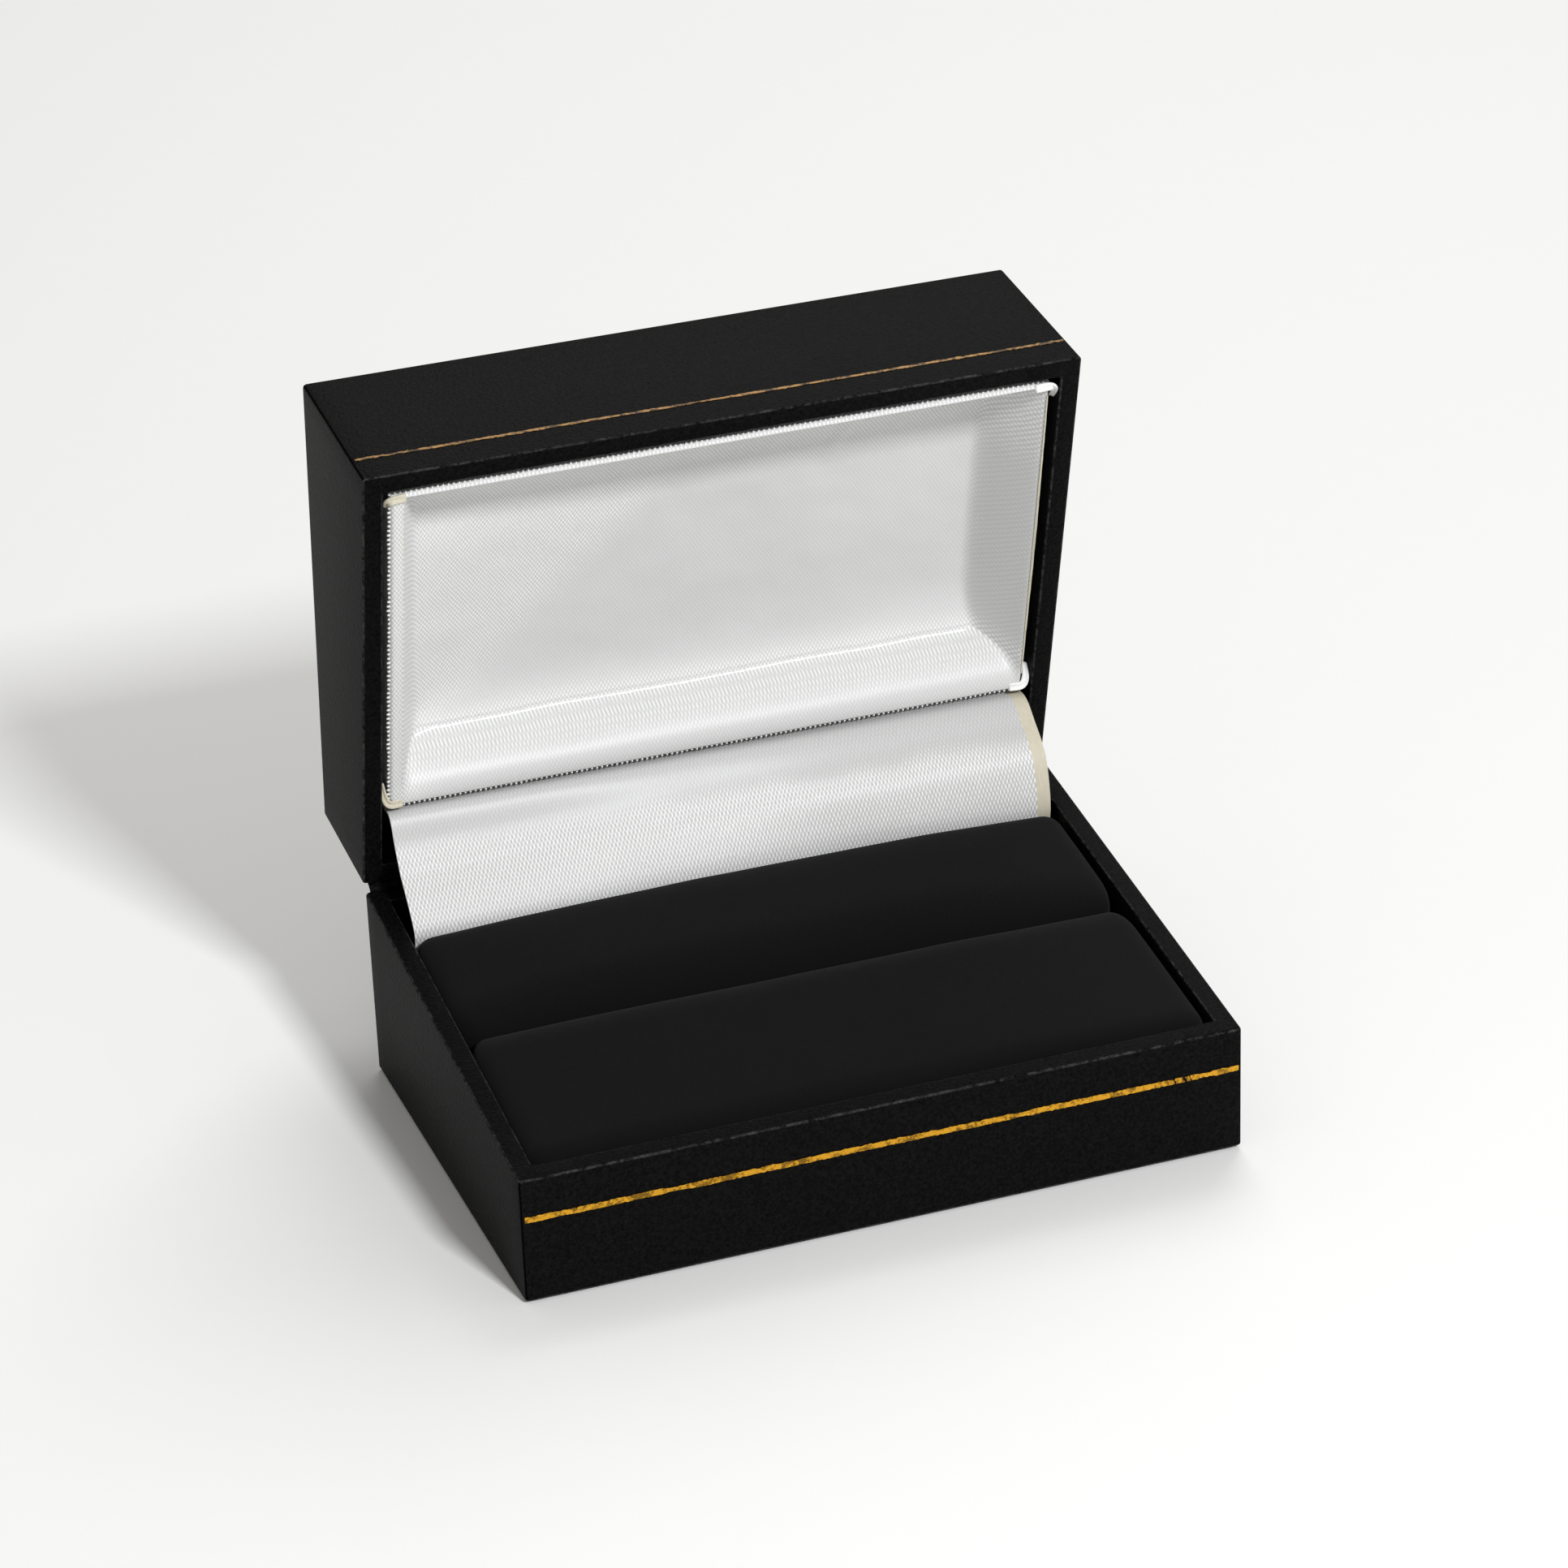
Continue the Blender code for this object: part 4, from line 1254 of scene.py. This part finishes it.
class JEWELBOX_OT_hinge_ribbon(bpy.types.Operator):
    """Hides the hinge behind a satin ribbon, shaped for the open lid"""

    bl_idname = "jewelbox.hinge_ribbon"
    bl_label = "Hinge ribbon"

    def execute(self, context):
        sizes = context.scene.jewelbox_lining
        obj, flat = ribbon(sizes, 0.5 * MM)
        # A coarser satin than the lining's
        weave = (sizes.weave_across, 1.6 * sizes.weave_along)
        depth, contrast = 1.5 * sizes.float_depth, 0.4

        def painted_glint_at(point):
            """Painted glint: the floats are painted bright below the kink, where the bulging ribbon faces
            the key light, and dull above it.
            """
            kink = 26.6 * MM + 0.7 * MM * wobble(61, point.x, size=5 * MM)
            return 1 - 0.75 * blend_in(point.z, kink - 0.8 * MM, kink + 1.0 * MM)

        # Painted highlight mask for the ribbon's floats
        set_painted_glint(obj, painted_glint_at)
        give(obj, satin_finish("satin_ribbon_polyester", sizes.colour, flat, weave, depth, contrast))
        # The ribbon's woven edge: ribbed across, and a little yellowed
        ribs = (1, 0.12, 0.12)
        edge = plain_finish("ribbon_selvage", sizes.aged, 0.6, 0.09 * MM, 0.03 * MM, 0.0, 0.12, ribs)
        obj.data.materials.append(edge)
        start = obj.dimensions.x / 2 - sizes.ribbon_edge
        for polygon in obj.data.polygons:
            polygon.material_index = int(polygon.center.x > start)
        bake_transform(obj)
        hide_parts("satin_ribbon")
        return {"FINISHED"}


# Pad


def rounded(value, low, high, radius_low, radius_high):
    """How far a coordinate lies beyond the straight part between two rounded ends, from -1 to 1."""
    if value < low + radius_low:
        return (value - low) / radius_low - 1
    if value > high - radius_high:
        return (value - high) / radius_high + 1
    return 0


def pad_half(side, edge, sizes):
    """A foam strip's velvet cover: crowned above, pulled in round its edges, open below.
    The edge gives the radii of its front and rear edges and the height of its crown."""
    radius_front, radius_rear, crown = edge
    node = "pad_velvet_" + side
    low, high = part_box(node)
    low.x, high.x = -sizes.half_width, sizes.half_width
    points = [vertex.co for vertex in frame["nodes"][node].data.vertices]
    foot = min(p.z for p in points if p.y < low.y + 0.05 * MM)
    rise = BASE.rim_at(low.y) - foot
    obj = add_box("pad_cover_" + side, (low.x, low.y, 0), (high.x, high.y, rise))
    obj.data.remesh_voxel_size = sizes.voxel
    bpy.ops.object.voxel_remesh()
    edit(obj)
    select(obj, "FACE", lambda f: f.normal.z < -0.8)
    bpy.ops.mesh.delete(type="FACE")
    stop_editing()
    slope, unevenness = math.tan(RIM_ANGLE), 0.12 * MM
    for vertex in obj.data.vertices:
        x, y, z = vertex.co
        out = Vector(
            (
                rounded(x, low.x, high.x, sizes.side_radius, sizes.side_radius),
                rounded(y, low.y, high.y, radius_front, radius_rear),
                max((z - rise) / sizes.side_radius + 1, 0),
            )
        )
        farthest = max(abs(out.x), abs(out.y), out.z)
        pulled = out / max(out.length / farthest, 1) if out.length else out
        x += (pulled.x - out.x) * sizes.side_radius
        y += (pulled.y - out.y) * (radius_front if out.y < 0 else radius_rear)
        z += (pulled.z - out.z) * sizes.side_radius
        up = blend_in(z, 0, rise)
        across = x / high.x
        span = 2 * (y - low.y) / (high.y - low.y) - 1
        soft = wobble(61, x, y, size=14 * MM) + 0.4 * wobble(67, x, y, size=6 * MM)
        z += up * crown * (1 - abs(across) ** 3) * (1 - span**4)
        z += up * unevenness * soft
        vertex.co = (x, y, z + foot + slope * (y - low.y))
    modify(obj, "SMOOTH", factor=0.5, iterations=3)
    modify(obj, "SOLIDIFY", thickness=sizes.velvet, offset=-1)
    smooth(obj, 70)
    return obj


class JEWELBOX_OT_pad(bpy.types.Operator):
    """Covers the two halves of the ring pad in velvet"""

    bl_idname = "jewelbox.pad"
    bl_label = "Ring pad"

    def execute(self, context):
        sizes = context.scene.jewelbox_pad
        # Velvet: a short dense pile that swallows light, with a faint sheen at grazing angles
        velvet = plain_finish("velvet_pile", sizes.colour, 0.95, sizes.pile, 0.05 * MM)
        shader = velvet.node_tree.nodes["Principled BSDF"]
        shader.inputs["Specular IOR Level"].default_value = 0.05
        shader.inputs["Sheen Weight"].default_value = 0.03
        shader.inputs["Sheen Roughness"].default_value = 0.6
        edges = {
            "front": (sizes.front_edge, sizes.slot_edge, sizes.front_crown),
            "rear": (sizes.slot_edge, sizes.rear_edge, sizes.rear_crown),
        }
        for side, edge in edges.items():
            obj = pad_half(side, edge, sizes)
            give(obj, velvet)
            hand_over(obj, "base", "velvet", "pad_velvet_" + side)
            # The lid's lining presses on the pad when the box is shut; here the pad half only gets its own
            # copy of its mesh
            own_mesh(obj)
        return {"FINISHED"}


# Finishes of the frame's own pieces


class JEWELBOX_OT_inner_parts(bpy.types.Operator):
    """Gives the shells, the cards, the fillings and the hinge their own finishes"""

    bl_idname = "jewelbox.inner_parts"
    bl_label = "Inner parts"

    def execute(self, context):
        # Moulded polystyrene: black, with the even haze of a textured mould
        moulded = plain_finish("polystyrene_moulded", linear("#050505"), 0.5, 0.6 * MM, 0.01 * MM)
        # Grey board: pressed waste paper, flecked and dull
        board = plain_finish("board_grey", linear("#B0ADA6"), 0.9, 0.5 * MM, 0.02 * MM, contrast=0.2)
        # Black paper: dull, with a fine tooth
        paper = plain_finish("paper_black", linear("#161616"), 0.85, 0.25 * MM, 0.02 * MM)
        # Polyester wadding: loose white fibre
        wadding = plain_finish("wadding_fibre", linear("#F0F0EE"), 0.95, 0.8 * MM, 0.2 * MM)
        # Polyurethane foam: open cells
        foam = plain_finish("foam_open_cell", linear("#4A4A4A"), 0.95, 0.4 * MM, 0.15 * MM)
        # Pressed steel with nickel plate: bright, with lengthwise rolling marks
        steel = plain_finish(
            "steel_nickel_plated",
            linear("#C9C8C4"),
            0.32,
            0.25 * MM,
            0.004 * MM,
            metallic=1.0,
            stretch=(0.08, 1, 1),
        )
        finishes = {
            "base_shell": moulded,
            "lid_shell": moulded,
            "base_bottom_sheet": paper,
            "pad_card": board,
            "pad_foam_front": foam,
            "pad_foam_rear": foam,
            "hinge_leaf_base": steel,
            "hinge_leaf_lid": steel,
            "hinge_pin": steel,
            "base_rivet_left": steel,
            "base_rivet_right": steel,
            "lid_rivet_left": steel,
            "lid_rivet_right": steel,
        }
        for node, finish in finishes.items():
            give(frame["nodes"][node], finish)
        lining_sizes = context.scene.jewelbox_lining
        dish = Dish(lining_sizes)
        for layer, slot, finish in (("card", "card", board), ("wadding", "wadding", wadding)):
            node = "lid_liner_" + layer
            obj = settled("lid_lining_" + layer, node, dish, lining_sizes)
            give(obj, finish)
            hand_over(obj, "lid", slot, node)
        spring = frame["nodes"]["hinge_spring"]
        strip = bpy.data.objects.new("hinge_spring_strip", spring.data.copy())
        context.scene.collection.objects.link(strip)
        modify(strip, "BEVEL", width=0.04 * MM, segments=2, limit_method="ANGLE")
        smooth(strip)
        give(strip, steel)
        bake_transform(strip)
        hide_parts("hinge_spring")
        return {"FINISHED"}


# Stage


class JEWELBOX_OT_stage(bpy.types.Operator):
    """Sets up the floor, the soft lights and the camera"""

    bl_idname = "jewelbox.stage"
    bl_label = "Stage"

    def soft_light(self, name, place, size, power, colour):
        """A square soft box that faces the object."""
        bpy.ops.object.select_all(action="DESELECT")
        bpy.ops.object.light_add(type="AREA", location=place)
        light = named(name)
        light.data.shape = "SQUARE"
        light.data.size = size
        light.data.energy = power
        light.data.color = colour
        aim = Vector((0, 10 * MM, 30 * MM)) - Vector(place)
        light.rotation_euler = aim.to_track_quat("-Z", "Y").to_euler()

    def execute(self, context):
        sizes = context.scene.jewelbox_stage
        bpy.ops.object.select_all(action="DESELECT")
        bpy.ops.mesh.primitive_plane_add(size=4)
        floor = named("studio_floor")
        # Paper sweep: matte and pale, with hardly any tooth
        give(floor, plain_finish("floor_paper", sizes.floor, 0.9, 4 * MM, 0.01 * MM, contrast=0.004))
        # Name, place, side, power and colour of each light
        self.soft_light("soft_box_front", (0.14, -0.75, 0.64), 0.13, 6.7, (0.97, 0.985, 1))
        self.soft_light("soft_box_back", (0.26, 0.48, 0.68), 0.45, 2.3, (1, 1, 1))
        world = bpy.data.worlds.new("studio")
        world.use_nodes = True
        background = world.node_tree.nodes["Background"]
        background.inputs["Color"].default_value = (1, 0.985, 0.95, 1)
        background.inputs["Strength"].default_value = 0.35
        context.scene.world = world
        context.scene.view_settings.view_transform = "Standard"
        bpy.ops.object.select_all(action="DESELECT")
        bpy.ops.object.camera_add(location=sizes.place)
        camera = named("camera")
        around = Matrix.Rotation(sizes.azimuth, 4, "Z")
        tilt = Matrix.Rotation(math.pi / 2 - sizes.elevation, 4, "X")
        turn = around @ tilt @ Matrix.Rotation(sizes.roll, 4, "Z")
        camera.rotation_euler = turn.to_euler()
        camera.data.lens = sizes.lens
        camera.data.clip_start = 0.01
        context.scene.camera = camera
        return {"FINISHED"}


STEPS = (
    JEWELBOX_OT_coverings,
    JEWELBOX_OT_foil_lines,
    JEWELBOX_OT_lid_lining,
    JEWELBOX_OT_hinge_ribbon,
    JEWELBOX_OT_pad,
    JEWELBOX_OT_inner_parts,
    JEWELBOX_OT_stage,
)


class JEWELBOX_PT_panel(bpy.types.Panel):
    """Lists the sizes and the steps"""

    bl_label = "Jewelry box"
    bl_idname = "JEWELBOX_PT_panel"
    bl_space_type = "VIEW_3D"
    bl_region_type = "UI"
    bl_category = "Jewelry box"

    def draw(self, context):
        for name, group in GROUPS.items():
            column = self.layout.column()
            for key in group.__annotations__:
                column.prop(getattr(context.scene, name), key)
        for step in STEPS:
            self.layout.operator(step.bl_idname)


def register():
    for name, group in GROUPS.items():
        bpy.utils.register_class(group)
        setattr(bpy.types.Scene, name, bpy.props.PointerProperty(type=group))
    for step in STEPS:
        bpy.utils.register_class(step)
    bpy.utils.register_class(JEWELBOX_PT_panel)


def unregister():
    bpy.utils.unregister_class(JEWELBOX_PT_panel)
    for step in reversed(STEPS):
        bpy.utils.unregister_class(step)
    for name, group in GROUPS.items():
        delattr(bpy.types.Scene, name)
        bpy.utils.unregister_class(group)


def main():
    for obj in list(bpy.data.objects):
        if obj.name in ("Cube", "Camera", "Light"):
            bpy.data.objects.remove(obj)
    register()
    bpy.ops.jewelbox.coverings()
    bpy.ops.jewelbox.foil_lines()
    bpy.ops.jewelbox.lid_lining()
    bpy.ops.jewelbox.hinge_ribbon()
    bpy.ops.jewelbox.pad()
    bpy.ops.jewelbox.inner_parts()
    bpy.ops.jewelbox.stage()
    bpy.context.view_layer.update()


if __name__ == "__main__":
    main()
